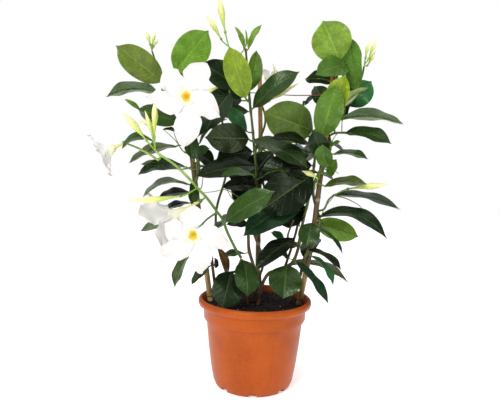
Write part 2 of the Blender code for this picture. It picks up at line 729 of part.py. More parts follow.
SPRAYS = {
    "bud_spray_top_left": ("stem_left", [
        ([(-160, 498, 3), (-163, 508, 2), (-169, 527, 0)], 6),
        ([(-160, 498, 3), (-159, 510, 2), (-156, 526, 2)], 5),
        ([(-160, 498, 3), (-156, 507, 4), (-151, 516, 5)], 4),
    ]),
    "bud_spray_top": ("stem_centre_left", [
        ([(-45, 506, 10), (-50, 524, 8), (-58, 560, 4), (-62, 586, 2)], 10),
        ([(-45, 506, 10), (-54, 514, 10), (-68, 536, 12), (-81, 553, 14)], 8),
    ]),
    "bud_spray_left": ("flowering_shoot", [
        ([(-151, 348, -32), (-164, 362, -36), (-186, 388, -46), (-204, 407, -52)], 10),
        ([(-151, 348, -32), (-157, 372, -28), (-162, 388, -24), (-181, 393, -20)], 7),
        ([(-151, 348, -32), (-156, 370, -36), (-163, 392, -38), (-169, 409, -38)], 7),
        ([(-151, 348, -32), (-154, 372, -40), (-154, 402, -50), (-154, 429, -54)], 9),
    ]),
    "bud_long_left": ("flowering_shoot", [
        ([(-88, 294, -46), (-104, 284, -58), (-146, 276, -70), (-193, 272, -74)], 9),
    ]),
    "bud_spray_top_right": ("stem_right", [
        ([(157, 484, 7), (160, 497, 4), (162, 510, 2), (167, 522, 0)], 6),
        ([(157, 484, 7), (164, 494, 8), (169, 508, 10), (176, 525, 11)], 6),
        ([(157, 484, 7), (162, 484, 14), (168, 494, 16), (175, 508, 17)], 6),
    ]),
    "bud_right_low": ("stem_right", [
        ([(121, 290, 1), (134, 297, -8), (160, 303, -14), (204, 308, -18)], 10),
    ]),
    "bud_right_inner": ("stem_right", [
        ([(102, 306, -10), (94, 314, -18), (84, 320, -22), (70, 325, -24)], 8),
    ]),
    "bud_spray_centre": ("stem_back_centre", [
        ([(12, 428, 60), (23, 440, 50), (29, 460, 44), (21, 484, 40)], 8),
        ([(12, 428, 60), (28, 436, 36), (44, 446, 24), (61, 456, 20)], 9),
    ]),
    "bud_left_inner": ("stem_centre_left", [
        ([(-46, 453, 4), (-54, 449, -2), (-68, 443, -6), (-86, 434, -10)], 6),
    ]),
}

STALKS = {
    "bloom_a_stalk": ("stem_left", [(-107, 420, -6), (-106, 424, -12), (-103, 430, -19)], "bloom_a"),
    "bloom_e_stalk": ("stem_back_centre", [(5, 427, 84), (10, 428, 90), (14, 430, 95)], "bloom_e"),
}

# Colours are linear red, green, blue
LEAF_GREEN = (0.03, 0.09, 0.02)
SHOOT_GREEN = (0.22, 0.38, 0.06)
BUD_CREAM = (0.72, 0.70, 0.33)
PETAL_WHITE = (0.88, 0.87, 0.80)
CANE_TAN = (0.46, 0.27, 0.10)
STRING_BROWN = (0.28, 0.11, 0.06)
POT_ORANGE = (0.50, 0.12, 0.035)
SOIL_BLACK = (0.016, 0.010, 0.007)


def all_stems(canes):
    """Every stem with its routes: three twine round the canes and the others follow readings."""
    distance = CANE_RADIUS + 0.4 + 2.6 + 1.0
    left = [at(-50, 100, 16), at(-53, 126, 17), at(-58, 152, 16), at(-64, 190, 13)]
    left += twining(canes["cane_left"], 221, 446, 0.6, distance)
    right = [at(58, 100, 14), at(60, 126, 15), at(66, 146, 14)]
    right += twining(canes["cane_right"], 168, 462, 2.4, distance)
    right += [at(119, 476, -2), at(121, 490, -2)]
    centre = [at(16, 104, 52), at(16, 130, 52)]
    centre += twining(canes["cane_centre"], 150, 440, 5.2, distance)
    mains = {"stem_left": left, "stem_right": right, "stem_back_centre": centre}
    for name, readings in STEM_READINGS.items():
        mains[name] = curve_through([at(*r) for r in readings], STEM_STEP)
    stems = {}
    for name, main in mains.items():
        if name != "flowering_shoot":
            routes = stem_routes(main, BRANCHES.get(name, []))
            stems[name] = Stem(name, routes, STEM_RADII[name])
    readings, radii = STEM_READINGS["flowering_shoot"], STEM_RADII["flowering_shoot"]
    routes = stem_routes(seated(stems["stem_base_front"], readings, radii[0]), BRANCHES["flowering_shoot"])
    stems["flowering_shoot"] = Stem("flowering_shoot", routes, radii)
    return stems


def calyx_shape(bloom):
    """The small green cup that a corolla's tube stands on, with a gap of a hair's breadth."""
    base, mouth = at(*BLOOMS[bloom][0]), at(*BLOOMS[bloom][1])
    axis = (mouth - base).normalized()
    top = base - axis * FIT_GAP
    return tube([top - axis * 7, top - axis * 4.5, top], [1.3, 2.3, 2.8], 6)


def calyx_foot(bloom):
    base, mouth = at(*BLOOMS[bloom][0]), at(*BLOOMS[bloom][1])
    return base - (mouth - base).normalized() * 6


def fits(stem, body):
    """Whether a fattened leaf crosses nothing but its own stem."""
    return not crosses(body, skip=(stem.name,))


def place_leaves(stem, specs):
    """Builds a stem's hand-placed leaves, each moved in depth until it is clear of all before it."""
    shapes = []
    for spec in specs:
        for push in PUSHES:
            trial = pushed(spec, push)
            if fits(stem, placed_leaf(trial, stem.routes, BLADE_CLEARANCE)):
                break
        else:
            print("no clear place for", stem.name, spec.base, spec.tip)
            continue
        shapes.append(placed_leaf(trial, stem.routes))
        note(stem.name + "_leaves", shapes[-1])
    return shapes


def fill_leaf(root, along, turn, rng):
    """A leaf of the hidden inside and back, which spreads from the stem and droops at its tip."""
    side = along.orthogonal().normalized()
    outward = side * math.cos(turn) + along.cross(side) * math.sin(turn)
    outward = (outward + Vector((0, 0.35, 0.25 + rng.uniform(-0.3, 0.3)))).normalized()
    length = rng.uniform(58, 84)
    base = root + outward * rng.uniform(11, 16)
    tip = base + outward * length - Vector((0, 0, length * 0.25))
    return base, tip


def place_fill(stem, rng):
    """Opposite pairs of leaves up a stem, kept where they cross nothing and the viewer sees little."""
    shapes = []
    main = stem.routes[0]
    travelled, next_pair, turn = 0.0, 60.0, rng.uniform(0, math.tau)
    for a, b in zip(main, main[1:]):
        travelled += (b - a).length
        if travelled < next_pair or a.z < 150:
            continue
        next_pair = travelled + FILL_SPACING * rng.uniform(0.8, 1.2)
        turn += math.pi / 2 + rng.uniform(-0.4, 0.4)
        for opposite in (0, math.pi):
            for attempt in range(FILL_TRIES):
                base, tip = fill_leaf(b, (b - a).normalized(), turn + opposite + 0.5 * attempt, rng)
                along = (tip - base).normalized()
                normal = (Vector((0, 0, 1)) - along * along.z).normalized()
                width = (tip - base).length * rng.uniform(0.42, 0.5)
                trial = leaf_solid(b, base, tip, normal, width, FILL_ARCH, BLADE_CLEARANCE, FILL_STATIONS)
                if fits(stem, trial) and sheltered_share(trial.points) >= FILL_SHELTERED:
                    shapes.append(leaf_solid(b, base, tip, normal, width, FILL_ARCH, 0.0, FILL_STATIONS))
                    note(stem.name + "_leaves", shapes[-1])
                    break
    return shapes


def build():
    rng = random.Random(7)
    for old in list(bpy.data.objects):
        bpy.data.objects.remove(old)
    canes = {name: cane_route(readings) for name, readings in CANES.items()}
    stems = all_stems(canes)

    pot = turned(pot_profile(), POT_SIDES)
    soil = soil_shape(rng)
    note("pot", pot)
    note("soil", soil)
    holes = []
    for name, route in canes.items():
        shape = cane_shape(route)
        note(name, shape)
        holes.append(tapered(route[:8], CANE_RADIUS + FIT_GAP, CANE_RADIUS + FIT_GAP, CANE_SIDES))
        finish(name, [shape], CANE_TAN, 0.55)
    for stem in stems.values():
        if stem.name != "flowering_shoot":
            thick = stem.radii[0] + FIT_GAP
            holes.append(tapered(stem.routes[0][:5], thick, thick, STEM_SIDES))
    finish("pot", [pot], POT_ORANGE, 0.42, cuts=pot_slots())
    finish("soil", [soil], SOIL_BLACK, 0.95, cuts=holes)

    string = string_shapes(canes)
    for shape in string:
        note("tie_string", shape)
    finish("tie_string", string, STRING_BROWN, 0.8)

    bodies = {}
    for stem in stems.values():
        bodies[stem.name] = stem_shapes(stem.routes, stem.radii)
    for bloom, (base, mouth, lobes, lift) in BLOOMS.items():
        shapes = bloom_shapes(at(*base), at(*mouth), lobes, lift)
        for shape in shapes:
            note(bloom, shape)
        finish(bloom, shapes, PETAL_WHITE, 0.5)
    for bloom in ("bloom_b", "bloom_c", "bloom_d"):
        _, root, _, _ = nearest_on(stems["flowering_shoot"].routes, calyx_foot(bloom))
        bodies["flowering_shoot"].append(tapered([root, calyx_foot(bloom)], 1.3, 1.3, 5))
        bodies["flowering_shoot"].append(calyx_shape(bloom))
    for name, shapes in bodies.items():
        for shape in shapes:
            note(name, shape)
    for name, (carrier, readings, bloom) in STALKS.items():
        route = seated(stems[carrier], readings, 1.2) + [calyx_foot(bloom)]
        shapes = [tapered(route, 1.3, 1.3, 5), calyx_shape(bloom)]
        for shape in shapes:
            note(name, shape)
        finish(name, shapes, SHOOT_GREEN, 0.5)
    for name, (carrier, buds) in SPRAYS.items():
        shapes = []
        foot = seated(stems[carrier], buds[0][0], 1.0)[0]
        for readings, width in buds:
            points = [at(*r) for r in readings]
            points[0] = foot
            shapes.append(bud_shape(points, width))
        for shape in shapes:
            note(name, shape)
        finish(name, shapes, BUD_CREAM, 0.5)

    for name, specs in LEAVES.items():
        bodies[name] += place_leaves(stems[name], specs)
    for name, stem in stems.items():
        if name != "flowering_shoot":
            bodies[name] += place_fill(stem, rng)
    for name, shapes in bodies.items():
        colour = SHOOT_GREEN if name == "flowering_shoot" else LEAF_GREEN
        finish(name, shapes, colour, 0.45)
        print(name, len(shapes), "pieces joined")


build()
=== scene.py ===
# %% [markdown]
# # A white mandevilla on three canes, in its pot
# This lesson dresses a plain solid model of a potted mandevilla. The solids are the frame: they say
# where the pot, the canes, each stem, leaf, flower and bud stand. Blender gives each of them its fine
# shape and its finish. The frame is loaded first.

# %% Load the frame
import math
import random
from collections import namedtuple

import bpy
import numpy as np
from mathutils import Matrix, Vector
from mathutils.kdtree import KDTree


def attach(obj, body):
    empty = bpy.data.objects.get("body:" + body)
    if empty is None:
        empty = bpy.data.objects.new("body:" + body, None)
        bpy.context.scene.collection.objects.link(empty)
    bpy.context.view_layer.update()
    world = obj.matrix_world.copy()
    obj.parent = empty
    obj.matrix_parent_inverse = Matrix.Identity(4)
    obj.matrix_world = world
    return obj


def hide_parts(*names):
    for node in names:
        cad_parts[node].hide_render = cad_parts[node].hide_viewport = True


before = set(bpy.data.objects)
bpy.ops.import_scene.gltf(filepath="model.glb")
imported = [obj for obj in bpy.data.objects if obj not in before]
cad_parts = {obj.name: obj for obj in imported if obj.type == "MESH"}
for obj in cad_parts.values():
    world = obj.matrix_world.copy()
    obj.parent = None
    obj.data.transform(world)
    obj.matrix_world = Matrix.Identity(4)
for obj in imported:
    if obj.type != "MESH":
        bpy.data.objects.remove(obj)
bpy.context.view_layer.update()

# %% [markdown]
# ## Places
# A climbing plant is easiest to place one by one. Each point is written as a viewer in front of the plant
# reads it: how far across and how far up in the upright plane through the pot's axis, and how deep
# behind that plane. at() turns such a reading into a point on that line of sight. Everything here is in
# millimetres, and the last step into a mesh turns it into Blender's metres.

# %% Readings, smooth routes and the nearest point of a route
MM = 0.001
EYE = Vector((-11.6, -690.0, 310.0))
AXIS_READING = 4.5
COARSE_STEP = 20.0


def at(across, up, depth):
    """The point seen at a place of the pot's plane, at a depth behind that plane."""
    seen = Vector((across - AXIS_READING, 0.0, up))
    return EYE + (seen - EYE) * ((depth - EYE.y) / -EYE.y)


def curve_through(points, step):
    """A smooth Catmull-Rom route through the points, with a point about every step."""
    ends = [points[0] * 2 - points[1]] + list(points) + [points[-1] * 2 - points[-2]]
    route = []
    for a, b, c, d in zip(ends, ends[1:], ends[2:], ends[3:]):
        pieces = max(1, round((c - b).length / step))
        for i in range(pieces):
            t = i / pieces
            route.append(0.5 * (2 * b + (c - a) * t + (2 * a - 5 * b + 4 * c - d) * t * t
                                + (3 * b - a - 3 * c + d) * t ** 3))
    return route + [points[-1]]


def point_at_height(route, height):
    """Where a rising route passes a height."""
    for a, b in zip(route, route[1:]):
        if a.z <= height <= b.z:
            return a.lerp(b, (height - a.z) / (b.z - a.z))
    return route[-1] if height > route[-1].z else route[0]


def nearest_on(routes, point):
    """The nearest point of some routes, with that route's number and its share of the length."""
    best = None
    for number, route in enumerate(routes):
        for i, (a, b) in enumerate(zip(route, route[1:])):
            t = max(0.0, min(1.0, (point - a).dot(b - a) / (b - a).length_squared))
            there = a.lerp(b, t)
            gap = (there - point).length
            if best is None or gap < best[0]:
                best = (gap, there, number, (i + t) / (len(route) - 1))
    return best


print("a reading at the axis, 300 mm up:", at(AXIS_READING, 300, 0))

# %% Helpers for edit mode, modifiers, copies and joining
def deselect():
    if bpy.context.mode != "OBJECT":
        bpy.ops.object.mode_set(mode="OBJECT")
    bpy.ops.object.select_all(action="DESELECT")


def select_only(made):
    """Selects one object alone and makes it the active one."""
    deselect()
    made.select_set(True)
    bpy.context.view_layer.objects.active = made


def added(name):
    """The primitive that was just added, under its own name."""
    made = bpy.context.object
    made.name = made.data.name = name
    return made


def edit(made, pick):
    """Opens edit mode with just those vertices selected whose place passes the test."""
    select_only(made)
    bpy.ops.object.mode_set(mode="EDIT")
    bpy.ops.mesh.select_mode(type="VERT")
    bpy.ops.mesh.select_all(action="DESELECT")
    bpy.ops.object.mode_set(mode="OBJECT")
    for vertex in made.data.vertices:
        vertex.select = pick(vertex.co)
    bpy.ops.object.mode_set(mode="EDIT")


def with_modifier(made, kind, **settings):
    """Adds a modifier, sets it and applies it."""
    select_only(made)
    step = made.modifiers.new(kind.lower(), kind)
    for setting, value in settings.items():
        setattr(step, setting, value)
    bpy.ops.object.modifier_apply(modifier=step.name)


def smooth(made, angle=50):
    select_only(made)
    bpy.ops.object.shade_smooth_by_angle(angle=math.radians(angle))


def places(made):
    """Every vertex's place as rows of numbers."""
    found = np.empty(len(made.data.vertices) * 3)
    made.data.vertices.foreach_get("co", found)
    return found.reshape(-1, 3)


def set_places(made, points):
    made.data.vertices.foreach_set("co", np.asarray(points, np.float32).ravel())
    made.data.update()


def copy_of(master, name):
    """A copy with its own mesh."""
    made = master.copy()
    made.data = master.data.copy()
    made.name = made.data.name = name
    bpy.context.scene.collection.objects.link(made)
    return made


def joined(parts, name):
    """Several objects made one mesh, at the origin."""
    deselect()
    for part in parts:
        part.select_set(True)
    bpy.context.view_layer.objects.active = parts[0]
    if len(parts) > 1:
        bpy.ops.object.join()
    return added(name)


def dressed(made, slot, *nodes):
    """Says what a finished piece rides on and which nodes of the frame it replaces; slot is not used."""
    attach(made, "root")
    if nodes:
        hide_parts(*nodes)
    triangles = sum(len(face.vertices) - 2 for face in made.data.polygons)
    print(made.name, "has", triangles, "triangles")


def turned_shape(name, around, profile, unit=MM):
    """A closed shape about Z: a circle, extruded and scaled through a profile of (radius, height)."""
    (radius, height), rest = profile[0], profile[1:]
    deselect()
    bpy.ops.mesh.primitive_circle_add(vertices=around, radius=radius * unit, fill_type="NGON",
                                      location=(0, 0, height * unit))
    made = added(name)
    bpy.ops.object.transform_apply()
    bpy.ops.object.mode_set(mode="EDIT")
    bpy.ops.mesh.select_all(action="SELECT")
    for next_radius, next_height in rest:
        bpy.ops.mesh.extrude_region_move(
            TRANSFORM_OT_translate={"value": (0, 0, (next_height - height) * unit)})
        bpy.ops.transform.resize(value=(next_radius / radius, next_radius / radius, 1))
        radius, height = next_radius, next_height
    bpy.ops.mesh.select_all(action="SELECT")
    bpy.ops.mesh.normals_make_consistent(inside=False)
    deselect()
    return made


print("helpers ready")

# %% [markdown]
# ## Shader maths as Python
# A finish is a small graph of nodes. Value wraps one socket, so that sums and products of values can be
# written as Python expressions, and Finish adds every other node with one method.

# %% Value and Finish
class Value:
    """One socket of a finish. Arithmetic on it adds Math nodes."""

    def __init__(self, finish, socket):
        self.finish, self.socket = finish, socket

    def maths(self, operation, *others):
        return self.finish.add("ShaderNodeMath", {"operation": operation}, dict(enumerate((self,) + others)))

    def flipped(self, operation, other):
        return self.finish.add("ShaderNodeMath", {"operation": operation}, {0: other, 1: self})

    def __add__(self, other):
        return self.maths("ADD", other)

    def __sub__(self, other):
        return self.maths("SUBTRACT", other)

    def __mul__(self, other):
        return self.maths("MULTIPLY", other)

    def __radd__(self, other):
        return self.flipped("ADD", other)

    def __rsub__(self, other):
        return self.flipped("SUBTRACT", other)

    def __rmul__(self, other):
        return self.flipped("MULTIPLY", other)

    def __abs__(self):
        return self.maths("ABSOLUTE")

    def between(self, low, high):
        """Rises smoothly from 0 at low to 1 at high."""
        return self.finish.add("ShaderNodeMapRange", {"interpolation_type": "SMOOTHSTEP"},
                               {"Value": self, "From Min": low, "From Max": high})


class Finish:
    """A material with a Principled shader, whose fixed numbers are set on its own sockets."""

    def __init__(self, name, **fixed):
        self.material = bpy.data.materials.new(name)
        self.material.use_nodes = True
        self.tree = self.material.node_tree
        self.shader = self.tree.nodes["Principled BSDF"]
        for socket, value in fixed.items():
            self.shader.inputs[socket.replace("_", " ")].default_value = value

    def add(self, kind, settings=(), sockets=(), out=0):
        """A node of a kind, with its settings first and then the values or links of its sockets."""
        node = self.tree.nodes.new(kind)
        for setting, value in dict(settings).items():
            setattr(node, setting, value)
        for socket, value in dict(sockets).items():
            if isinstance(value, Value):
                self.tree.links.new(value.socket, node.inputs[socket])
            else:
                node.inputs[socket].default_value = value
        return Value(self, node.outputs[out])

    def feed(self, **values):
        for socket, value in values.items():
            self.tree.links.new(value.socket, self.shader.inputs[socket.replace("_", " ")])

    def place(self, stretch=(1, 1, 1)):
        """Object coordinates in metres, stretched."""
        found = self.add("ShaderNodeTexCoord", out="Object")
        return self.add("ShaderNodeMapping", {}, {"Vector": found, "Scale": stretch})

    def part(self, vector, letter):
        return self.add("ShaderNodeSeparateXYZ", {}, {0: vector}, out="XYZ".index(letter))

    def noise(self, place, scale, detail=3.0, rough=0.55):
        return self.add("ShaderNodeTexNoise", {}, {"Vector": place, "Scale": scale, "Detail": detail,
                                                   "Roughness": rough})

    def number(self, name):
        return self.add("ShaderNodeAttribute", {"attribute_name": name}, out="Fac")

    def colour(self, name):
        return self.add("ShaderNodeAttribute", {"attribute_name": name}, out="Color")

    def mix(self, share, first, second, blend="MIX"):
        """Two colours mixed by a share, or blended."""
        node = self.tree.nodes.new("ShaderNodeMix")
        node.data_type, node.blend_type = "RGBA", blend
        for number, value in ((0, share), (6, first), (7, second)):
            if isinstance(value, Value):
                self.tree.links.new(value.socket, node.inputs[number])
            else:
                node.inputs[number].default_value = value
        return Value(self, node.outputs[2])

    def tinted(self, tone, *tint):
        """A colour times a tint."""
        return self.mix(1.0, tone, (*tint, 1), "MULTIPLY")

    def bump(self, height, depth_mm, strength=1.0):
        return self.add("ShaderNodeBump", {}, {"Height": height, "Distance": depth_mm * MM,
                                               "Strength": strength})


def srgb(red, green, blue):
    """A colour as a screen shows it, 0 to 255, in Blender's linear numbers."""
    return tuple(((c / 255 + 0.055) / 1.055) ** 2.4 if c > 10 else c / 255 / 12.92
                 for c in (red, green, blue)) + (1.0,)


print("shader helpers ready")

# %% [markdown]
# ## The pot
# A nursery pot is moulded from thin plastic: a tapered wall, a collar with a small step, and a rolled
# lip. It is turned about its axis, so a circle is extruded and scaled from ring to ring, up the outside
# and down the inside. Eight boxes then cut the drain slots out of the corner of the foot.

# %% Pot shape
POT_PROFILE = (
    (54, 0), (57.6, 0.9), (59, 4), (60.1, 6.6), (61, 9), (63, 19), (65, 30), (67, 45), (69, 60),
    (71.2, 80), (73.2, 98.2), (73.7, 99.0), (75.2, 99.5), (76.7, 100.3), (77.3, 101.6), (77.5, 108),
    (77.7, 115.4), (78.3, 117.6), (79.8, 118.7), (82.6, 119.6), (84.9, 121.3), (85.9, 123.8),
    (85.9, 126.6), (85.0, 129.0), (83.4, 130.5), (81.6, 130.9), (80.2, 130.2), (79.3, 128.6),
    (77.6, 125), (76, 121.4), (75.4, 110), (75.2, 103.4), (73.4, 101.6), (71.4, 100.2), (67.2, 60),
    (63.2, 30), (59, 9.4), (57, 5), (54, 2.6), (30, 2.6),
)
SLOT_COUNT = 8
SLOT_BOX = (0.0176, 0.0115, 0.0084)
SLOT_REACH = 0.0595
SLOT_HEIGHT = 0.0012
SLOT_ROUNDING = 0.0011
POT_SIDES = 128

pot = turned_shape("nursery_pot", POT_SIDES, POT_PROFILE)
for number in range(SLOT_COUNT):
    turn = math.tau * number / SLOT_COUNT - math.pi / 2
    deselect()
    bpy.ops.mesh.primitive_cube_add(
        size=1, scale=SLOT_BOX, rotation=(0, 0, turn),
        location=(SLOT_REACH * math.cos(turn), SLOT_REACH * math.sin(turn), SLOT_HEIGHT))
    cutter = added("slot_cutter")
    with_modifier(cutter, "BEVEL", width=SLOT_ROUNDING, segments=3)
    with_modifier(pot, "BOOLEAN", operation="DIFFERENCE", solver="EXACT", object=cutter)
    bpy.data.objects.remove(cutter)
smooth(pot, 32)
print("pot:", len(pot.data.vertices), "vertices")

# %% [markdown]
# Old moulded plastic is never one flat orange. Large soft clouds shift it between a redder and a paler
# tone, a fine speckle breaks up its shine, lime and dust dull it in patches and at the foot, and faint
# rings from the mould run round it.

# %% Pot finish
plastic = Finish("terracotta_plastic", Specular_IOR_Level=0.26, Specular_Tint=(1, 0.74, 0.5, 1))
spot = plastic.place()
clouds = plastic.noise(spot, 17, 4).between(0.36, 0.66)
speckle = plastic.noise(spot, 420, 3)
streaks = plastic.noise(plastic.place((90, 90, 7)), 1, 3).between(0.45, 0.72)
height = plastic.part(spot, "Z")
dust = plastic.noise(spot, 46, 5, 0.7).between(0.46, 0.74) * 0.55 + (1 - height.between(0.0, 0.03)) * 0.3
tone = plastic.mix(clouds, srgb(158, 66, 12), srgb(174, 76, 16))
tone = plastic.mix(streaks * 0.3, tone, srgb(148, 60, 18))
tone = plastic.mix(dust * 0.2, tone, srgb(180, 96, 54))
tone = plastic.mix(speckle.between(0.35, 0.7) * 0.18, tone, srgb(190, 108, 62))
rings = (height * 2600).maths("SINE")
relief = speckle * 0.5 + rings * 0.12 + clouds * 0.5
plastic.feed(Base_Color=tone, Roughness=dust * 0.22 + speckle * 0.12 + 0.3,
             Normal=plastic.bump(relief, 0.12, 0.6))
pot.data.materials.append(plastic.material)
dressed(pot, "pot_plastic", "pot")

# %% [markdown]
# ## The potting mix
# Damp peat is almost black and lumpy, with bits of bark and a few pale grains in it. A turned block
# fills the pot. Its top follows the lumps of the frame's own soil, with finer ones on them, and some
# hundreds of small crumbs lie on it. A crumb is one rough stone of twenty faces, copied many times.

# %% Soil shape
SOIL_SIDES = 24
SOIL_LEVEL = 121.0
SOIL_BUMP = 1.6
SOIL_RIM = 74.75
SOIL_CROWN = 2.5
SOIL_PEAK, PEAK_RADIUS = 2, 9
SOIL_AROUND, SOIL_TOP_RINGS = 144, 44
GRAIN_HEIGHT = 0.7
SOIL_RADII = (SOIL_RIM, 62, 48, 34, 20, 9, 0)
SOIL_WALL = [(53.4, 2.95), (56.1, 5.2), (58.1, 8.9), (62.6, 30), (66.6, 60), (70.4, 99.6), (74.35, 104.5)]
chance = random.Random(7)
lumps = [[chance.uniform(-SOIL_BUMP, SOIL_BUMP) for _ in range(SOIL_SIDES)] for _ in SOIL_RADII[:-1]]
lumps.append([chance.uniform(-SOIL_BUMP, SOIL_BUMP)] * SOIL_SIDES)
crumb_chance = random.Random(3)


def soil_height(x, y):
    """The height of the potting mix at a place, in mm."""
    radius = min(math.hypot(x, y), SOIL_RIM - 0.01)
    around = (math.atan2(y, x) / math.tau) % 1 * SOIL_SIDES
    ring = max(i for i, r in enumerate(SOIL_RADII[:-1]) if r >= radius)
    inward = (SOIL_RADII[ring] - radius) / (SOIL_RADII[ring] - SOIL_RADII[ring + 1])
    k, share = int(around), around - int(around)
    near, far = [row[k] * (1 - share) + row[(k + 1) % SOIL_SIDES] * share for row in lumps[ring:ring + 2]]
    crown = SOIL_CROWN * (1 - radius / SOIL_RIM) + SOIL_PEAK * max(0, 1 - radius / PEAK_RADIUS)
    return SOIL_LEVEL + crown + near * (1 - inward) + far * inward


top_rings = [(SOIL_RIM * (1 - n / SOIL_TOP_RINGS), SOIL_LEVEL) for n in range(SOIL_TOP_RINGS)]
soil = turned_shape("potting_mix", SOIL_AROUND, SOIL_WALL + top_rings)
crumbly = places(soil) / MM
for point in crumbly:
    if point[2] > SOIL_LEVEL - 1:
        x, y = point[0], point[1]
        grain = math.sin(x * 1.7 + 3 * math.sin(y * 0.9)) * math.sin(y * 1.9 + 2.4 * math.sin(x * 1.1))
        point[2] = soil_height(x, y) + GRAIN_HEIGHT * grain * min(1, (SOIL_RIM - math.hypot(x, y)) / 6)
set_places(soil, crumbly * MM)
smooth(soil, 60)

# %% Crumbs of bark and pale grains
CRUMB_COUNT = 620
PALE_EVERY = 31
CRUMB_REACH = 72
CRUMB_ROUGHNESS = 0.22
deselect()
bpy.ops.mesh.primitive_ico_sphere_add(subdivisions=1, radius=1)
crumb = added("crumb")
crumbs, grains = [], []
for number in range(CRUMB_COUNT):
    turn, radius = crumb_chance.uniform(0, math.tau), CRUMB_REACH * math.sqrt(crumb_chance.random())
    x, y = radius * math.cos(turn), radius * math.sin(turn)
    dark = number % PALE_EVERY > 0
    size = crumb_chance.uniform(0.7, 2.3) if dark else crumb_chance.uniform(0.6, 1.1)
    made = copy_of(crumb, "crumb_copy")
    stretch = [size * crumb_chance.uniform(0.7, 1.7), size, size * crumb_chance.uniform(0.35, 0.8)]
    points = places(made)
    rough = [[crumb_chance.uniform(-CRUMB_ROUGHNESS, CRUMB_ROUGHNESS) * size for _ in range(3)]
             for _ in points]
    points = points * stretch + rough
    spin = np.array(Matrix.Rotation(crumb_chance.uniform(0, math.tau), 3, "Z"))
    set_places(made, (points @ spin + [x, y, soil_height(x, y) + size * 0.12]) * MM)
    (crumbs if dark else grains).append(made)
bpy.data.objects.remove(crumb)
crumbs, grains = joined(crumbs, "soil_crumbs"), joined(grains, "pale_grains")

# %% Soil finishes
peat = Finish("damp_peat", Specular_IOR_Level=0.12)
spot = peat.place()
fine, coarse = peat.noise(spot, 900, 4, 0.7), peat.noise(spot, 160, 4)
tone = peat.mix(fine.between(0.4, 0.75), srgb(8, 6, 6), srgb(30, 22, 18))
tone = peat.mix(coarse.between(0.55, 0.7) * 0.6, tone, srgb(46, 33, 26))
peat.feed(Base_Color=tone, Roughness=coarse * 0.5 + 0.5, Normal=peat.bump(fine + coarse, 1.2, 0.9))
bark = Finish("bark_crumbs", Roughness=0.8, Specular_IOR_Level=0.3)
spot = bark.place()
patch = bark.noise(spot, 210, 3)
bark.feed(Base_Color=bark.mix(patch.between(0.5, 0.72), srgb(20, 13, 10), srgb(84, 56, 38)),
          Normal=bark.bump(bark.noise(spot, 1300, 3), 0.5, 0.8))
pale = Finish("pale_grains", Roughness=0.75)
spot = pale.place()
pale.feed(Base_Color=pale.mix(pale.noise(spot, 500, 2), srgb(120, 104, 84), srgb(214, 204, 186)))
soil.data.materials.append(peat.material)
crumbs.data.materials.append(bark.material)
grains.data.materials.append(pale.material)
dressed(soil, "potting_mix", "soil")
dressed(crumbs, "potting_mix")
dressed(grains, "potting_mix")

# %% [markdown]
# ## The canes
# A bamboo cane is a straight tube with a raised ring at each joint, sawn off at its ends. It is turned
# standing up and one unit tall, and then laid along the cane's route.

# %% Laying an upright shape along a route
def laid_along(made, route):
    """Bends a shape that stands on Z, from 0 to 1, along a route. Its X and Y are in mm."""
    points = places(made)
    lengths = np.cumsum([0] + [(b - a).length for a, b in zip(route, route[1:])])
    centres = np.array([tuple(p) for p in route])
    ahead = np.gradient(centres, lengths, axis=0)
    ahead /= np.linalg.norm(ahead, axis=1)[:, None]
    side = np.array(tuple((route[1] - route[0]).orthogonal().normalized()))
    sides = []
    for direction in ahead:
        side = side - direction * side.dot(direction)
        side = side / np.linalg.norm(side)
        sides.append(side)
    travelled = points[:, 2] * lengths[-1]
    centre, first, along = [np.stack([np.interp(travelled, lengths, rows[:, n]) for n in range(3)], 1)
                            for rows in (centres, np.array(sides), ahead)]
    other = np.cross(along, first)
    set_places(made, (centre + first * points[:, :1] + other * points[:, 1:2]) * MM)


# %% Canes
CANE_RADIUS = 4.4
CANE_FOOT = 30.0
CANE_JOINT_SPACING = 78.0
FIRST_JOINT = 52.0
JOINT_RINGS = (-3, -1.2, -0.4, 0, 0.5, 1.2, 3)
CANE_SIDES, CANE_RINGS, CANE_STEP = 20, 40, 36
CANE_TAPER, CANE_TALL = 0.9, 480
CANES = {
    "cane_left": [(-63.5, 122, 5), (-92, 310, 5), (-104, 400, 6), (-112, 458, 8)],
    "cane_centre": [(8, 137, 60), (7, 220, 63), (6, 380, 70), (4, 425, 72), (2, 472, 74)],
    "cane_right": [(72.5, 122, -2), (87, 205, -3), (97, 300, -2), (105, 380, 0), (112, 468, 2)],
}


def cane_route(readings):
    """A cane through some readings, run on down into the soil."""
    seen = [at(*r) for r in readings]
    slope = (seen[1] - seen[0]) / (seen[1].z - seen[0].z)
    foot = seen[0] + slope * (CANE_FOOT - seen[0].z)
    return curve_through([foot] + seen, CANE_STEP)


def cane_profile(bottom, top):
    """The radius up a cane, with its joints, and the sawn end with its hollow."""
    heights = [bottom + (top - bottom) * n / CANE_RINGS for n in range(CANE_RINGS + 1)]
    joint = FIRST_JOINT
    while joint < top - 2:
        heights += [joint + ring for ring in JOINT_RINGS]
        joint += CANE_JOINT_SPACING
    profile = []
    for height in sorted(heights):
        past = (height - FIRST_JOINT + CANE_JOINT_SPACING / 2) % CANE_JOINT_SPACING - CANE_JOINT_SPACING / 2
        ridge = 0.3 * math.exp(-(past / 6) ** 2) + 0.42 * math.exp(-(past / 0.9) ** 2)
        groove = 0.3 * math.exp(-((past + 1.9) / 0.7) ** 2)
        radius = CANE_RADIUS - CANE_TAPER * height / CANE_TALL + ridge - groove
        profile.append((radius, (height - bottom) / (top - bottom)))
    rim = profile[-1][0]
    return profile + [(rim * 0.55, 1.0), (rim * 0.5, 0.985)]


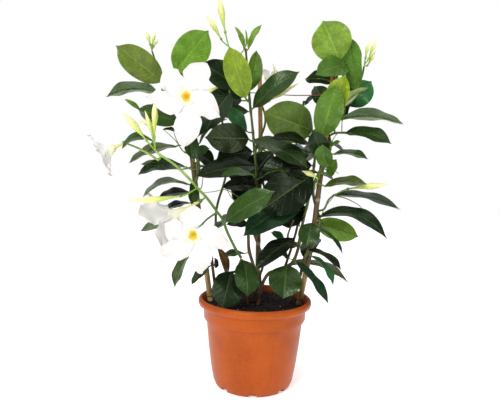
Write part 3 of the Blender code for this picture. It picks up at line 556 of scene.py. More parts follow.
canes = {name: cane_route(readings) for name, readings in CANES.items()}
cane_pieces = {}
for name, route in canes.items():
    cane = turned_shape(name.replace("cane", "bamboo"), CANE_SIDES, cane_profile(route[0].z, route[-1].z), 1)
    laid_along(cane, route)
    smooth(cane, 40)
    cane_pieces[name] = cane

# %% [markdown]
# Dry bamboo is straw to tan, with long fine fibres, brown stains and a dark line with a pale bloom at
# each joint. Where the canes run inside the foliage they are painted darker, for the shade there. The canes
# stand almost upright, so a pattern stretched along Z follows their fibres.

# %% Bamboo finish
bamboo = Finish("bamboo", Specular_IOR_Level=0.4)
spot = bamboo.place()
fibres = bamboo.noise(bamboo.place((900, 900, 14)), 1, 3)
stains = bamboo.noise(bamboo.place((60, 60, 16)), 1, 4).between(0.44, 0.66)
height = bamboo.part(spot, "Z")
joints = height * (1 / (CANE_JOINT_SPACING * MM)) - FIRST_JOINT / CANE_JOINT_SPACING
past = (joints + 0.5).maths("FRACT") - 0.5
scar = 1 - abs(past + 0.02).between(0.004, 0.022)
bloom = 1 - abs(past + 0.05).between(0.01, 0.06)
# Painted shade: the canes are a darker brown-green between about 160 and 390 mm up, where they run inside the
# foliage.
shade_in_foliage = height.between(0.16, 0.19) * (1 - height.between(0.36, 0.39))
tone = bamboo.mix(fibres.between(0.35, 0.68), srgb(160, 130, 70), srgb(190, 166, 100))
tone = bamboo.mix(height.between(0.3, 0.4) * 0.7, tone, srgb(184, 126, 72))
tone = bamboo.mix(shade_in_foliage * 0.9, tone, srgb(64, 50, 27))
tone = bamboo.mix(stains * 0.6, tone, srgb(96, 74, 42))
tone = bamboo.mix(bloom * 0.35, tone, srgb(214, 200, 160))
tone = bamboo.mix(scar * 0.75, tone, srgb(72, 46, 28))
bamboo.feed(Base_Color=tone, Roughness=fibres * 0.3 + stains * 0.15 + 0.28,
            Normal=bamboo.bump(fibres + scar * 0.4, 0.25, 0.7))
for name, cane in cane_pieces.items():
    cane.data.materials.append(bamboo.material)
    dressed(cane, "bamboo", name)

# %% [markdown]
# ## The string
# A thin two-ply string ties the three canes together near the top. It is a curve: two strands wind round
# each other along the route, once round each cane and across the two gaps, where it is almost taut and
# dips by 2 mm. A small knot with two loose ends sits on each cane.

# %% String
STRING_RADIUS = 0.9
FIT_GAP = 0.35
STRING_HEIGHT = {"cane_left": 446, "cane_centre": 453, "cane_right": 440}
PLY_RADIUS = 0.5
PLY_PITCH = 4.2
STRING_DIP = Vector((0, 0, 2))
RING_STEPS = 16
KNOT = ((-1.6, 0, 0), (0, -1.4, 1), (1.6, 0, 0.4), (0.4, 0, -1.6), (-0.6, -1.2, -0.4))


def new_bars(name, *finishes):
    """An empty curve object whose splines become round bars."""
    curve = bpy.data.curves.new(name, "CURVE")
    curve.dimensions = "3D"
    curve.bevel_depth = MM
    curve.bevel_resolution = 2
    curve.use_fill_caps = True
    for finish in finishes:
        curve.materials.append(finish.material)
    made = bpy.data.objects.new(name, curve)
    bpy.context.scene.collection.objects.link(made)
    return made


def add_bar(bars, route, radii, slot=0):
    """One bar along a route in mm, with a radius for each of its points."""
    spline = bars.data.splines.new("POLY")
    spline.points.add(len(route) - 1)
    spline.material_index = slot
    spline.use_smooth = True
    for point, place, radius in zip(spline.points, route, radii):
        point.co = (*(place * MM), 1)
        point.radius = radius


def made_mesh(bars):
    select_only(bars)
    bpy.ops.object.convert(target="MESH")
    return added(bars.name)


def add_string(bars, route):
    """Two strands that wind round each other along a route."""
    fine = curve_through(route, 0.6)
    for half in (0, math.pi):
        strand, travelled = [], 0.0
        side = (fine[1] - fine[0]).orthogonal().normalized()
        for before, place in zip([fine[0]] + fine, fine):
            travelled += (place - before).length
            ahead = (place - before).normalized() if travelled else (fine[1] - fine[0]).normalized()
            side = (side - ahead * side.dot(ahead)).normalized()
            turn = math.tau * travelled / PLY_PITCH + half
            aside = side * math.cos(turn) + ahead.cross(side) * math.sin(turn)
            strand.append(place + aside * PLY_RADIUS * 0.8)
        add_bar(bars, strand, [PLY_RADIUS] * len(strand))


string_finish = Finish("string_fibre", Roughness=0.8, Specular_IOR_Level=0.2)
spot = string_finish.place()
fluff = string_finish.noise(spot, 700, 3)
string_finish.feed(Base_Color=string_finish.mix(fluff, srgb(96, 48, 36), srgb(176, 108, 86)),
                   Normal=string_finish.bump(fluff, 0.3, 0.8))
bars = new_bars("tie_string_two_ply", string_finish)
tied = {name: point_at_height(canes[name], height) for name, height in STRING_HEIGHT.items()}
loop_radius = CANE_RADIUS + STRING_RADIUS + FIT_GAP
for name in ("cane_left", "cane_right"):
    start, end = tied["cane_centre"], tied[name]
    out = (end - start).normalized() * loop_radius
    add_string(bars, [start + out, start.lerp(end, 0.5) - STRING_DIP, end - out])
for centre in tied.values():
    ring = []
    for i in range(RING_STEPS + 1):
        turn = math.tau * i / RING_STEPS
        ring.append(centre + Vector((math.cos(turn), math.sin(turn), 0)) * loop_radius)
    add_string(bars, ring)
    knot = centre + Vector((0, -loop_radius, 0))
    add_string(bars, [knot + Vector(turn) for turn in KNOT])
    for way in (-1, 1):
        add_string(bars, [knot, knot + Vector((way * 1.4, -1.6, -2)), knot + Vector((way * 2.2, -1.8, -7))])
string = made_mesh(bars)
dressed(string, "string", "tie_string")

# %% [markdown]
# ## Where the stems run
# Three stems twine round the canes and the others climb through readings. Each side branch grows from
# the nearest point of its stem. These are the frame's own routes, coarse as it has them, so that a leaf
# finds the same root here as it has there. Bars are later drawn through them with a finer step.

# %% Tables of the stems
BRANCHES = {
    "stem_left": [
        [(-122, 420, 14), (-141, 436, 7), (-143, 450, 3), (-130, 465, 0)],
        [(-148, 466, 5), (-155, 484, 5), (-160, 498, 3)],
    ],
    "stem_right": [
        [(119, 404, 10), (131, 412, 14), (143, 436, 13), (150, 452, 11), (156, 470, 9), (158, 484, 7)],
        [(106, 268, 0), (112, 282, 0), (121, 290, 1)],
        [(118, 383, -2), (134, 384, -3)],
    ],
    "stem_centre_left": [
        [(-24, 484, 18), (-36, 498, 14), (-45, 506, 10)],
        [(-26, 449, 18), (-38, 452, 10), (-46, 453, 4)],
    ],
    "stem_centre_right": [
        [(56, 216, -2), (52, 226, -4), (60, 250, -8)],
    ],
    "stem_base_front": [
        [(-28, 168, -22), (-36, 166, -26)],
    ],
    "flowering_shoot": [
        [(-60, 256, -40), (-72, 247, -32), (-79, 239, -26)],
        [(-147, 335, -28), (-160, 343, -24), (-178, 352, -24), (-194, 358, -27)],
    ],
}

STEM_READINGS = {
    "stem_centre_left": [
        (2, 98, 0), (3, 130, -2), (8, 148, -2), (2, 175, 2), (-6, 200, 8), (-8, 235, 14), (-4, 270, 18),
        (2, 310, 20), (-2, 350, 22), (-6, 385, 24), (-12, 430, 26), (-16, 470, 24), (-20, 505, 18),
    ],
    "stem_centre_right": [
        (10, 98, -12), (11, 132, -14), (16, 152, -14), (26, 168, -14), (44, 173, -14), (60, 184, -10),
        (68, 205, -5), (72, 235, 0), (78, 265, 2), (84, 295, 4), (88, 330, 6), (90, 365, 6), (88, 388, 2),
    ],
    "stem_base_front": [
        (-6, 98, -16), (-8, 128, -18), (-16, 150, -20), (-23, 170, -20), (-17, 188, -18),
    ],
    "stem_back_left": [
        (-22, 100, 30), (-30, 140, 35), (-52, 200, 46), (-58, 260, 52), (-44, 320, 56), (-50, 380, 50),
        (-58, 430, 40),
    ],
    "stem_back_right": [
        (28, 100, 30), (36, 140, 38), (56, 200, 50), (68, 260, 54), (58, 320, 56), (62, 380, 50),
        (70, 430, 38),
    ],
    "flowering_shoot": [
        (-17, 190, -24), (-28, 205, -30), (-40, 228, -38), (-48, 248, -42), (-55, 257, -44), (-72, 279, -46),
        (-86, 293, -46), (-95, 303, -45), (-105, 313, -42), (-118, 325, -40), (-130, 334, -36),
        (-142, 341, -34), (-151, 348, -32),
    ],
}

STEM_RADII = {
    "stem_left": (2.6, 1.8), "stem_right": (2.6, 1.8), "stem_centre_left": (2.8, 1.6),
    "stem_centre_right": (2.8, 1.8), "stem_base_front": (2.6, 2.0), "stem_back_centre": (2.4, 1.7),
    "stem_back_left": (2.4, 1.6), "stem_back_right": (2.4, 1.6), "flowering_shoot": (2.1, 1.8),
}

BLOOMS = {
    "bloom_a": ((-102, 434, -26), (-108, 431, -74),
                ((63, 52, 36), (135, 44, 34), (207, 46, 36), (279, 66, 38), (351, 49, 36)), 2),
    "bloom_b": ((-86, 231, -30), (-93, 221, -78),
                ((95, 42, 34), (12, 48, 34), (300, 50, 36), (230, 48, 34), (165, 40, 32)), 2),
    "bloom_c": ((-84, 274, -44), (-124, 250, -34),
                ((80, 42, 32), (8, 40, 30), (296, 44, 32), (224, 44, 32), (152, 42, 32)), 6),
    "bloom_d": ((-200, 359, -28), (-226, 346, -34),
                ((90, 26, 24), (18, 30, 26), (306, 40, 28), (234, 38, 28), (162, 28, 24)), 10),
    "bloom_e": ((15, 437, 96), (18, 461, 96),
                ((90, 18, 16), (18, 18, 16), (306, 18, 16), (234, 18, 16), (162, 18, 16)), 12),
}

SPRAYS = {
    "bud_spray_top_left": ("stem_left", [
        ([(-160, 498, 3), (-163, 508, 2), (-169, 527, 0)], 6),
        ([(-160, 498, 3), (-159, 510, 2), (-156, 526, 2)], 5),
        ([(-160, 498, 3), (-156, 507, 4), (-151, 516, 5)], 4),
    ]),
    "bud_spray_top": ("stem_centre_left", [
        ([(-45, 506, 10), (-50, 524, 8), (-58, 560, 4), (-62, 586, 2)], 10),
        ([(-45, 506, 10), (-54, 514, 10), (-68, 536, 12), (-81, 553, 14)], 8),
    ]),
    "bud_spray_left": ("flowering_shoot", [
        ([(-151, 348, -32), (-164, 362, -36), (-186, 388, -46), (-204, 407, -52)], 10),
        ([(-151, 348, -32), (-157, 372, -28), (-162, 388, -24), (-181, 393, -20)], 7),
        ([(-151, 348, -32), (-156, 370, -36), (-163, 392, -38), (-169, 409, -38)], 7),
        ([(-151, 348, -32), (-154, 372, -40), (-154, 402, -50), (-154, 429, -54)], 9),
    ]),
    "bud_long_left": ("flowering_shoot", [
        ([(-88, 294, -46), (-104, 284, -58), (-146, 276, -70), (-193, 272, -74)], 9),
    ]),
    "bud_spray_top_right": ("stem_right", [
        ([(157, 484, 7), (160, 497, 4), (162, 510, 2), (167, 522, 0)], 6),
        ([(157, 484, 7), (164, 494, 8), (169, 508, 10), (176, 525, 11)], 6),
        ([(157, 484, 7), (162, 484, 14), (168, 494, 16), (175, 508, 17)], 6),
    ]),
    "bud_right_low": ("stem_right", [
        ([(121, 290, 1), (134, 297, -8), (160, 303, -14), (204, 308, -18)], 10),
    ]),
    "bud_right_inner": ("stem_right", [
        ([(102, 306, -10), (94, 314, -18), (84, 320, -22), (70, 325, -24)], 8),
    ]),
    "bud_spray_centre": ("stem_back_centre", [
        ([(12, 428, 60), (23, 440, 50), (29, 460, 44), (21, 484, 40)], 8),
        ([(12, 428, 60), (28, 436, 36), (44, 446, 24), (61, 456, 20)], 9),
    ]),
    "bud_left_inner": ("stem_centre_left", [
        ([(-46, 453, 4), (-54, 449, -2), (-68, 443, -6), (-86, 434, -10)], 6),
    ]),
}

STALKS = {
    "bloom_a_stalk": ("stem_left", [(-107, 420, -6), (-106, 424, -12), (-103, 430, -19)], "bloom_a"),
    "bloom_e_stalk": ("stem_back_centre", [(5, 427, 84), (10, 428, 90), (14, 430, 95)], "bloom_e"),
}

Stem = namedtuple("Stem", "name routes radii")


# %% Routes of the stems
TWINE_PITCH = 120.0
TWINE_DISTANCE = CANE_RADIUS + 4.0
TWINE_STEP = 13
FOOT_CLEARANCE = 0.2
BRANCH_START, BRANCH_END = 0.95, 0.75


def twining(cane, low, high, turns_from, distance):
    """A helix round a cane from one height to another."""
    route = []
    steps = max(2, round((high - low) / TWINE_STEP))
    for i in range(steps + 1):
        height = low + (high - low) * i / steps
        centre = point_at_height(cane, height)
        turn = turns_from + math.tau * (height - low) / TWINE_PITCH
        route.append(centre + Vector((math.cos(turn), math.sin(turn), 0)) * distance)
    return route


def stem_routes(main, branches):
    """A stem's own route, and its branches, each from the nearest point of what it grows from."""
    routes = [main]
    for readings in branches:
        points = [at(*r) for r in readings]
        _, root, _, _ = nearest_on(routes, points[0])
        routes.append(curve_through([root] + points, COARSE_STEP))
    return routes


def seated(stem, readings, radius):
    """A stalk's route from its readings, with its foot just off the stem's side or its end."""
    points = [at(*r) for r in readings]
    _, root, number, share = nearest_on(stem.routes, points[0])
    first, end = stem.radii
    thick = first + (end - first) * share if number == 0 else end * BRANCH_START
    away = (points[1] - root).normalized()
    clear = thick + FIT_GAP + FOOT_CLEARANCE
    if share > 0.999:
        route = stem.routes[number]
        lean = min(1.4, away.angle(route[-1] - route[-2]))
        over_end = max(1.0, FIT_GAP + 0.1 + radius * math.sin(lean)) / math.cos(lean)
        clear = min(over_end, clear / max(math.sin(lean), 0.01))
    points[0] = root + away * clear
    return curve_through(points, COARSE_STEP)


def all_stems():
    """Every stem with its routes: three twine round the canes and the others follow readings."""
    left = [at(-50, 100, 16), at(-53, 126, 17), at(-58, 152, 16), at(-64, 190, 13)]
    left += twining(canes["cane_left"], 221, 446, 0.6, TWINE_DISTANCE)
    right = [at(58, 100, 14), at(60, 126, 15), at(66, 146, 14)]
    right += twining(canes["cane_right"], 168, 462, 2.4, TWINE_DISTANCE)
    right += [at(119, 476, -2), at(121, 490, -2)]
    centre = [at(16, 104, 52), at(16, 130, 52)]
    centre += twining(canes["cane_centre"], 150, 440, 5.2, TWINE_DISTANCE)
    mains = {"stem_left": left, "stem_right": right, "stem_back_centre": centre}
    for name, readings in STEM_READINGS.items():
        mains[name] = curve_through([at(*r) for r in readings], COARSE_STEP)
    stems = {}
    for name, main in mains.items():
        if name != "flowering_shoot":
            stems[name] = Stem(name, stem_routes(main, BRANCHES.get(name, [])), STEM_RADII[name])
    readings, radii = STEM_READINGS["flowering_shoot"], STEM_RADII["flowering_shoot"]
    routes = stem_routes(seated(stems["stem_base_front"], readings, radii[0]), BRANCHES["flowering_shoot"])
    stems["flowering_shoot"] = Stem("flowering_shoot", routes, radii)
    return stems


stems = all_stems()
print(len(stems), "stems")

# %% [markdown]
# ## Leaves: which, where and what colour
# Each leaf has a name for its tone, the readings of its base and tip, the width that shows and its true
# width. The frame moved some of them in depth to keep them clear of each other. To find out by how much,
# each trial place is held against the corners of the frame's own node: a leaf stands where its rib's
# corners are found. The hidden inside and back are filled by a rule with chance in it, and the same
# rule is run here with the same chance.

# %% Tones of the leaves
# Each tone is a leaf's own green with light and shade painted into it. The young top leaves are lighter for
# teal and _sheen tones hold a painted sheen.
# their own colour and for painted light, leaves deep in the mass are near black with painted shade, and the
TONES = {
    "lime": (112, 144, 48), "yellow_green": (126, 150, 40), "bright": (110, 148, 48), "fresh": (98, 140, 38),
    "leaf_green": (78, 112, 34), "light": (98, 130, 44), "olive_light": (92, 110, 42),
    "olive_green": (68, 90, 26),
    "mid": (44, 70, 24), "mid_light": (68, 102, 36), "olive": (70, 86, 32), "deep": (35, 58, 21),
    "dark": (19, 35, 16), "dark_olive": (30, 38, 17), "dark_sheen": (36, 54, 28), "black_green": (10, 18, 9),
    "teal": (44, 98, 54), "teal_dark": (24, 56, 34), "grey_green": (82, 102, 70),
    "fresh_sheen": (90, 132, 50),
    "pale_fold": (134, 152, 96), "grey_dark": (46, 66, 40), "dry": (90, 56, 28),
}
# Painted shade: the fill leaves of the hidden inside and back mostly take dark tones.
FILL_SHADE_TONES = ("deep", "dark", "dark_sheen", "mid", "dark")


def leaf(tone, base, tip, seen=None, wide=None, arch=None, under=False):
    """A leaf's tone, base, tip, the width that shows, its true width, arch, and if its underside shows."""
    return tone, base, tip, seen, wide, arch, under


LEAVES = {
    "stem_left": [
        leaf("olive_light", (-143, 453, -3), (-214, 504, -28), seen=42),
        leaf("fresh", (-124, 468, -4), (-76, 530, -22), seen=50),
        leaf("grey_green", (-150, 436, 2), (-228, 427, -18), seen=17, wide=38, arch=10, under=True),
        leaf("mid", (-118, 393, 16), (-180, 411, 6), seen=30),
        leaf("bright", (-176, 409, 8), (-200, 425, 4), seen=7, wide=9),
        leaf("dark", (-118, 379, 8), (-142, 381, 0), seen=5, wide=14),
        leaf("olive", (-122, 357, 6), (-192, 329, -14), seen=14, wide=34, arch=7),
        leaf("dark", (-108, 327, 0), (-178, 312, -24), seen=17, wide=34, arch=8),
        leaf("olive", (-112, 322, 22), (-174, 328, 26), seen=16, wide=28),
        leaf("grey_green", (-103, 301, -6), (-170, 278, -28), seen=9, wide=34, arch=12),
        leaf("dark", (-98, 287, 6), (-146, 279, -8), seen=13, wide=26),
        leaf("dark", (-100, 272, 0), (-141, 256, -16), seen=10, wide=24),
        leaf("dark", (-96, 262, 14), (-127, 240, 20), seen=12, wide=22),
        leaf("grey_green", (-104, 250, 18), (-173, 226, 22), seen=20, wide=30),
        leaf("grey_green", (-94, 202, -4), (-119, 141, -16), seen=15, wide=28, under=True),
        leaf("deep", (-66, 176, 0), (-93, 146, -14), seen=12, wide=20),
        leaf("deep", (-57, 188, 0), (-57, 172, -6), seen=7, wide=10),
        leaf("deep", (-97, 340, 0), (-70, 355, -14), seen=14, wide=20),
        leaf("dark", (-98, 372, 2), (-66, 402, -22), seen=22, wide=26),
        leaf("mid", (-114, 432, 26), (-92, 486, 22), seen=26, wide=34),
        leaf("dark", (-100, 352, 20), (-62, 330, 34), seen=24, wide=32),
        leaf("deep", (-104, 384, -4), (-98, 338, -14), seen=22, wide=26),
        leaf("mid", (-94, 304, -8), (-96, 270, -14), seen=16, wide=22),
    ],
    "stem_centre_left": [
        leaf("yellow_green", (-18, 432, -2), (-45, 508, -26), seen=38, arch=4),
        leaf("leaf_green", (-13, 442, 22), (-4, 503, 14), seen=24, wide=28),
        leaf("bright", (-22, 505, 12), (-37, 537, 4), seen=7, wide=12),
        leaf("bright", (-16, 505, 22), (3, 541, 20), seen=9, wide=14),
        leaf("bright", (-20, 507, 18), (-21, 533, 14), seen=3, wide=5),
        leaf("deep", (-6, 418, 12), (62, 473, -12), seen=29, wide=36, arch=8),
        leaf("dark", (-34, 448, 8), (-84, 482, -6), seen=38, wide=42),
        leaf("dark", (-42, 438, 4), (-78, 380, -20), seen=36, wide=40),
        leaf("fresh", (-44, 455, 2), (-61, 478, -8), seen=10, wide=14),
        leaf("teal", (-15, 382, 12), (-55, 419, -6), seen=21, wide=28),
        leaf("dark_olive", (-12, 371, 6), (-78, 371, -30), seen=44, arch=3),
        leaf("black_green", (0, 330, 4), (-90, 312, -38), seen=30, wide=38),
        leaf("mid", (-4, 318, -12), (-52, 313, -44), seen=11, wide=24),
        leaf("dark_sheen", (-3, 370, 2), (80, 329, -38), seen=27, wide=38, arch=8),
        leaf("dark", (-14, 412, 30), (-66, 404, 20), seen=22, wide=30),
        leaf("black_green", (2, 300, 12), (-50, 296, 0), seen=20, wide=28),
        leaf("dark", (-8, 242, 4), (-42, 240, -10), seen=14, wide=20),
        leaf("deep", (-14, 197, 4), (-51, 187, -4), seen=10, wide=20, arch=4),
        leaf("dark", (-24, 428, 32), (-80, 428, 22), seen=34, wide=40),
        leaf("black_green", (4, 262, 26), (-38, 304, 18), seen=34, wide=40),
        leaf("black_green", (-6, 352, 30), (-60, 338, 22), seen=36, wide=42),
    ],
    "stem_centre_right": [
        leaf("olive_green", (84, 386, -2), (9, 412, -34), seen=58, arch=5),
        leaf("black_green", (84, 318, -2), (8, 262, -34), seen=62, wide=62, arch=5),
        leaf("teal_dark", (76, 290, -16), (-16, 223, -52), seen=44, wide=48, arch=8),
        leaf("mid", (82, 300, -24), (54, 255, -56), seen=22, wide=30),
        leaf("black_green", (86, 360, 2), (20, 371, -26), seen=13, wide=30, arch=8),
        leaf("black_green", (62, 222, -10), (4, 172, -36), seen=26, wide=34),
        leaf("deep", (52, 180, -22), (48, 128, -54), seen=48, wide=48, arch=3),
        leaf("olive", (50, 180, -18), (148, 155, -48), seen=11, wide=34, arch=16),
        leaf("teal_dark", (66, 186, 4), (118, 122, -12), seen=13, wide=30, arch=4),
        leaf("olive", (70, 215, 2), (54, 206, -14), seen=12, wide=16),
        leaf("teal", (48, 216, 4), (26, 230, -6), seen=12, wide=18),
        leaf("dark", (54, 192, 2), (40, 200, -6), seen=9, wide=14),
        leaf("black_green", (80, 270, 8), (44, 240, 22), seen=30, wide=36),
        leaf("black_green", (84, 334, 14), (6, 316, 26), seen=46, wide=50),
        leaf("black_green", (84, 302, 14), (26, 296, 32), seen=40, wide=46),
    ],
    "stem_right": [
        leaf("lime", (121, 492, -2), (94, 549, -18), seen=58, arch=4),
        leaf("fresh_sheen", (148, 448, 8), (136, 527, -2), seen=34, wide=40, arch=5),
        leaf("mid_light", (134, 484, 4), (86, 469, -22), seen=30, wide=36, arch=6),
        leaf("grey_dark", (116, 458, -4), (70, 462, -22), seen=20, wide=28, arch=6, under=True),
        leaf("yellow_green", (116, 402, -14), (131, 471, -40), seen=33, wide=38, arch=6),
        leaf("leaf_green", (98, 376, -16), (118, 456, -34), seen=40, arch=5),
        leaf("teal", (138, 424, 22), (170, 462, 8), seen=38, arch=4),
        leaf("grey_green", (124, 404, 4), (221, 399, -22), seen=16, wide=38, arch=9, under=True),
        leaf("deep", (134, 384, -2), (204, 369, -30), seen=19, wide=34, arch=8),
        leaf("mid", (118, 352, -6), (170, 345, -24), seen=10, wide=26, arch=5),
        leaf("dark", (103, 345, -14), (84, 386, -26), seen=28),
        leaf("leaf_green", (112, 363, -12), (127, 371, -18), seen=6, wide=9),
        leaf("olive", (106, 303, -8), (170, 307, -26), seen=14, wide=28, arch=6),
        leaf("dark", (122, 290, 2), (222, 270, -18), seen=13, wide=34, arch=8),
        leaf("dark", (98, 256, -4), (204, 224, -34), seen=20, wide=36, arch=24),
        leaf("light", (94, 247, 10), (160, 227, 4), seen=34, arch=4, under=True),
        leaf("teal_dark", (100, 238, -12), (137, 199, -22), seen=5, wide=18, arch=5),
        leaf("black_green", (82, 205, -4), (136, 174, -26), seen=9, wide=28, arch=7),
        leaf("teal", (90, 196, -12), (124, 151, -34), seen=9, wide=26, arch=6),
        leaf("deep", (88, 246, -10), (80, 209, -26), seen=32, arch=3),
        leaf("deep", (108, 420, 22), (84, 452, 30), seen=30, wide=34),
        leaf("fresh", (128, 402, -2), (133, 426, -8), seen=4, wide=7),
        leaf("pale_fold", (120, 412, -10), (165, 452, -36), seen=13, wide=30, arch=6, under=True),
        leaf("mid_light", (110, 330, -12), (100, 366, -30), seen=24, wide=28),
        leaf("leaf_green", (112, 318, -10), (122, 344, -22), seen=16, wide=20),
        leaf("dark", (128, 402, 6), (134, 444, 2), seen=22, wide=26),
    ],
    "stem_base_front": [
        leaf("dark", (-34, 168, -28), (-46, 110, -60), seen=44, wide=46, arch=3),
        leaf("deep", (-14, 186, -22), (-6, 131, -46), seen=36, wide=38, arch=3),
        leaf("dry", (-37, 168, -24), (-54, 205, -32), seen=11, wide=14),
    ],
    "flowering_shoot": [
        leaf("mid", (-42, 246, -46), (30, 293, -74), seen=33, wide=36, arch=6),
        leaf("mid", (-156, 364, -28), (-203, 350, -44), seen=11, wide=24, arch=12),
    ],
    "stem_back_centre": [
        leaf("black_green", (24, 352, 50), (-12, 298, 44), seen=44, wide=48),
        leaf("black_green", (2, 300, 50), (-46, 332, 40), seen=42, wide=46),
        leaf("black_green", (0, 262, 48), (-36, 294, 40), seen=32, wide=36),
    ],
    "stem_back_right": [
        leaf("black_green", (58, 262, 50), (4, 250, 44), seen=42, wide=46),
        leaf("deep", (72, 424, 36), (84, 438, 34), seen=7, wide=10),
    ],
}

# %% Reading the frame's leaves
LEAF_SLENDERNESS = 0.46
LEAF_ARCH = 0.07
CAD_STATIONS = (0.0, 0.17, 0.45, 0.77, 1.0)
CAD_FILL_STATIONS = (0.0, 0.25, 0.68, 1.0)
CAD_THICK = 1.4
PUSHES = (0, -5, 5, -10, 10, -16, 16, -23, 23, -31, 31, 40, 50, 60)
FILL_SPACING = 46.0
FILL_ARCH = 7.0
FILL_TRIES = 5
FIRST_FILL, FILL_LOWEST = 60.0, 150
FILL_DROOP = 0.25
CORNER_NEAR, CORNERS_NEEDED = 0.05, 4
Placed = namedtuple("Placed", "tone root base tip normal wide arch")


def corner_tree(node):
    """The frame's corners of a node, in mm, for finding the nearest one."""
    corners = [vertex.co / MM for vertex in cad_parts[node].data.vertices]
    tree = KDTree(len(corners))
    for number, corner in enumerate(corners):
        tree.insert(corner, number)
    tree.balance()
    return tree


def unit(rows):
    return rows / np.linalg.norm(rows, axis=1)[:, None]


def blade_frame(base, tip, normal, arch, along):
    """The arched midrib at shares of its length, with the direction across and the one it faces."""
    reach, lift = tip - base, normal * (arch * 4 / 3)
    handles = (base, base + reach / 3 + lift, base + reach * 2 / 3 + lift, tip)
    a, b, c, d = [np.array(tuple(handle)) for handle in handles]
    s = np.asarray(along, float)[:, None]
    r = 1 - s
    rib = a * r ** 3 + b * 3 * s * r * r + c * 3 * s * s * r + d * s ** 3
    ahead = unit((b - a) * r * r + (c - b) * 2 * s * r + (d - c) * s * s)
    across = unit(np.cross(ahead, np.array(tuple(normal))))
    return rib, across, np.cross(across, ahead)


def stands(tree, base, tip, normal, arch, stations):
    """Whether the frame has a leaf just there."""
    rib, _, face = blade_frame(base, tip, normal, arch, stations)
    corners = [r + f * side * CAD_THICK / 2 for r, f in zip(rib, face) for side in (1, -1)]
    return sum(tree.find(corner)[2] < CORNER_NEAR for corner in corners) >= CORNERS_NEEDED


def leaf_normal(base, tip, seen, wide, under):
    """Which way the leaf's upper face looks, turned from the viewer as far as its narrow look says."""
    along = (tip - base).normalized()
    view = (EYE - (base + tip) / 2).normalized()
    upward = view.cross(along).normalized()
    if abs(upward.z) > 0.3:
        upward *= math.copysign(1, upward.z)
    else:
        upward *= math.copysign(1, -upward.x * (base + tip).x)
    facing = (view - along * view.dot(along)).normalized()
    turn = math.acos(min(1.0, seen / wide))
    return facing * (math.cos(turn) * (-1 if under else 1)) + upward * math.sin(turn)


def hand_placed(stem, tree):
    """The leaves of a stem's table, each where the frame has it."""
    found = []
    for tone, base, tip, seen, wide, arch, under in LEAVES.get(stem.name, []):
        length = (at(*tip) - at(*base)).length
        wide = wide or max(LEAF_SLENDERNESS * length, seen or 0.0)
        arch = LEAF_ARCH * length if arch is None else arch
        for push in PUSHES:
            near, far = at(base[0], base[1], base[2] + push), at(tip[0], tip[1], tip[2] + push)
            normal = leaf_normal(near, far, seen or wide, wide, under)
            if stands(tree, near, far, normal, arch, CAD_STATIONS):
                root = nearest_on(stem.routes, near)[1]
                found.append(Placed(tone, root, near, far, normal, wide, arch))
                break
        else:
            print("not in the frame:", stem.name, base, tip)
    return found


def fill_leaf(root, along, turn):
    """A leaf of the hidden inside and back, which spreads from the stem and droops at its tip."""
    side = along.orthogonal().normalized()
    outward = side * math.cos(turn) + along.cross(side) * math.sin(turn)
    outward = (outward + Vector((0, 0.35, 0.25 + chance.uniform(-0.3, 0.3)))).normalized()
    length = chance.uniform(58, 84)
    base = root + outward * chance.uniform(11, 16)
    return base, base + outward * length - Vector((0, 0, length * FILL_DROOP))


def fill_placed(stem, tree):
    """The opposite pairs of leaves up a stem that the frame kept."""
    found = []
    main = stem.routes[0]
    travelled, next_pair, turn = 0.0, FIRST_FILL, chance.uniform(0, math.tau)
    for a, b in zip(main, main[1:]):
        travelled += (b - a).length
        if travelled < next_pair or a.z < FILL_LOWEST:
            continue
        next_pair = travelled + FILL_SPACING * chance.uniform(0.8, 1.2)
        turn += math.pi / 2 + chance.uniform(-0.4, 0.4)
        for opposite in (0, math.pi):
            for attempt in range(FILL_TRIES):
                base, tip = fill_leaf(b, (b - a).normalized(), turn + opposite + 0.5 * attempt)
                along = (tip - base).normalized()
                normal = (Vector((0, 0, 1)) - along * along.z).normalized()
                width = (tip - base).length * chance.uniform(0.42, 0.5)
                if stands(tree, base, tip, normal, FILL_ARCH, CAD_FILL_STATIONS):
                    tone = FILL_SHADE_TONES[len(found) % len(FILL_SHADE_TONES)]
                    found.append(Placed(tone, b, base, tip, normal, width, FILL_ARCH))
                    break
    return found


leaves = {}
for name, stem in stems.items():
    tree = corner_tree(name)
    leaves[name] = hand_placed(stem, tree)
    if name != "flowering_shoot":
        leaves[name] += fill_placed(stem, tree)
    print(name, "has", len(leaves[name]), "leaves")

# %% [markdown]
# ## One leaf, modelled once
# The real leaf is oval with a short drawn-out tip, thick and waxy, with a sunken midrib. It is made flat
# from a small grid. The grid's own UV map is there before the outline is pulled in, so it goes on telling
# how far across and along the blade a point is, and the finish draws the veins by it. Rows are scaled to
# the outline, and a subdivision surface rounds it all. Solidify gives the thickness, and puts the
# underside in a material slot of its own. The midrib and veins are sunk later, when a leaf is laid.

# %% The leaf's master
LEAF_OUTLINE = (
    (0.0, 0.07), (0.07, 0.40), (0.16, 0.72), (0.28, 0.93), (0.41, 1.03), (0.54, 1.06), (0.67, 0.98),
    (0.78, 0.82), (0.865, 0.58), (0.92, 0.30), (0.955, 0.12), (1.0, 0.012),
)
UNIT_THICK = 0.01


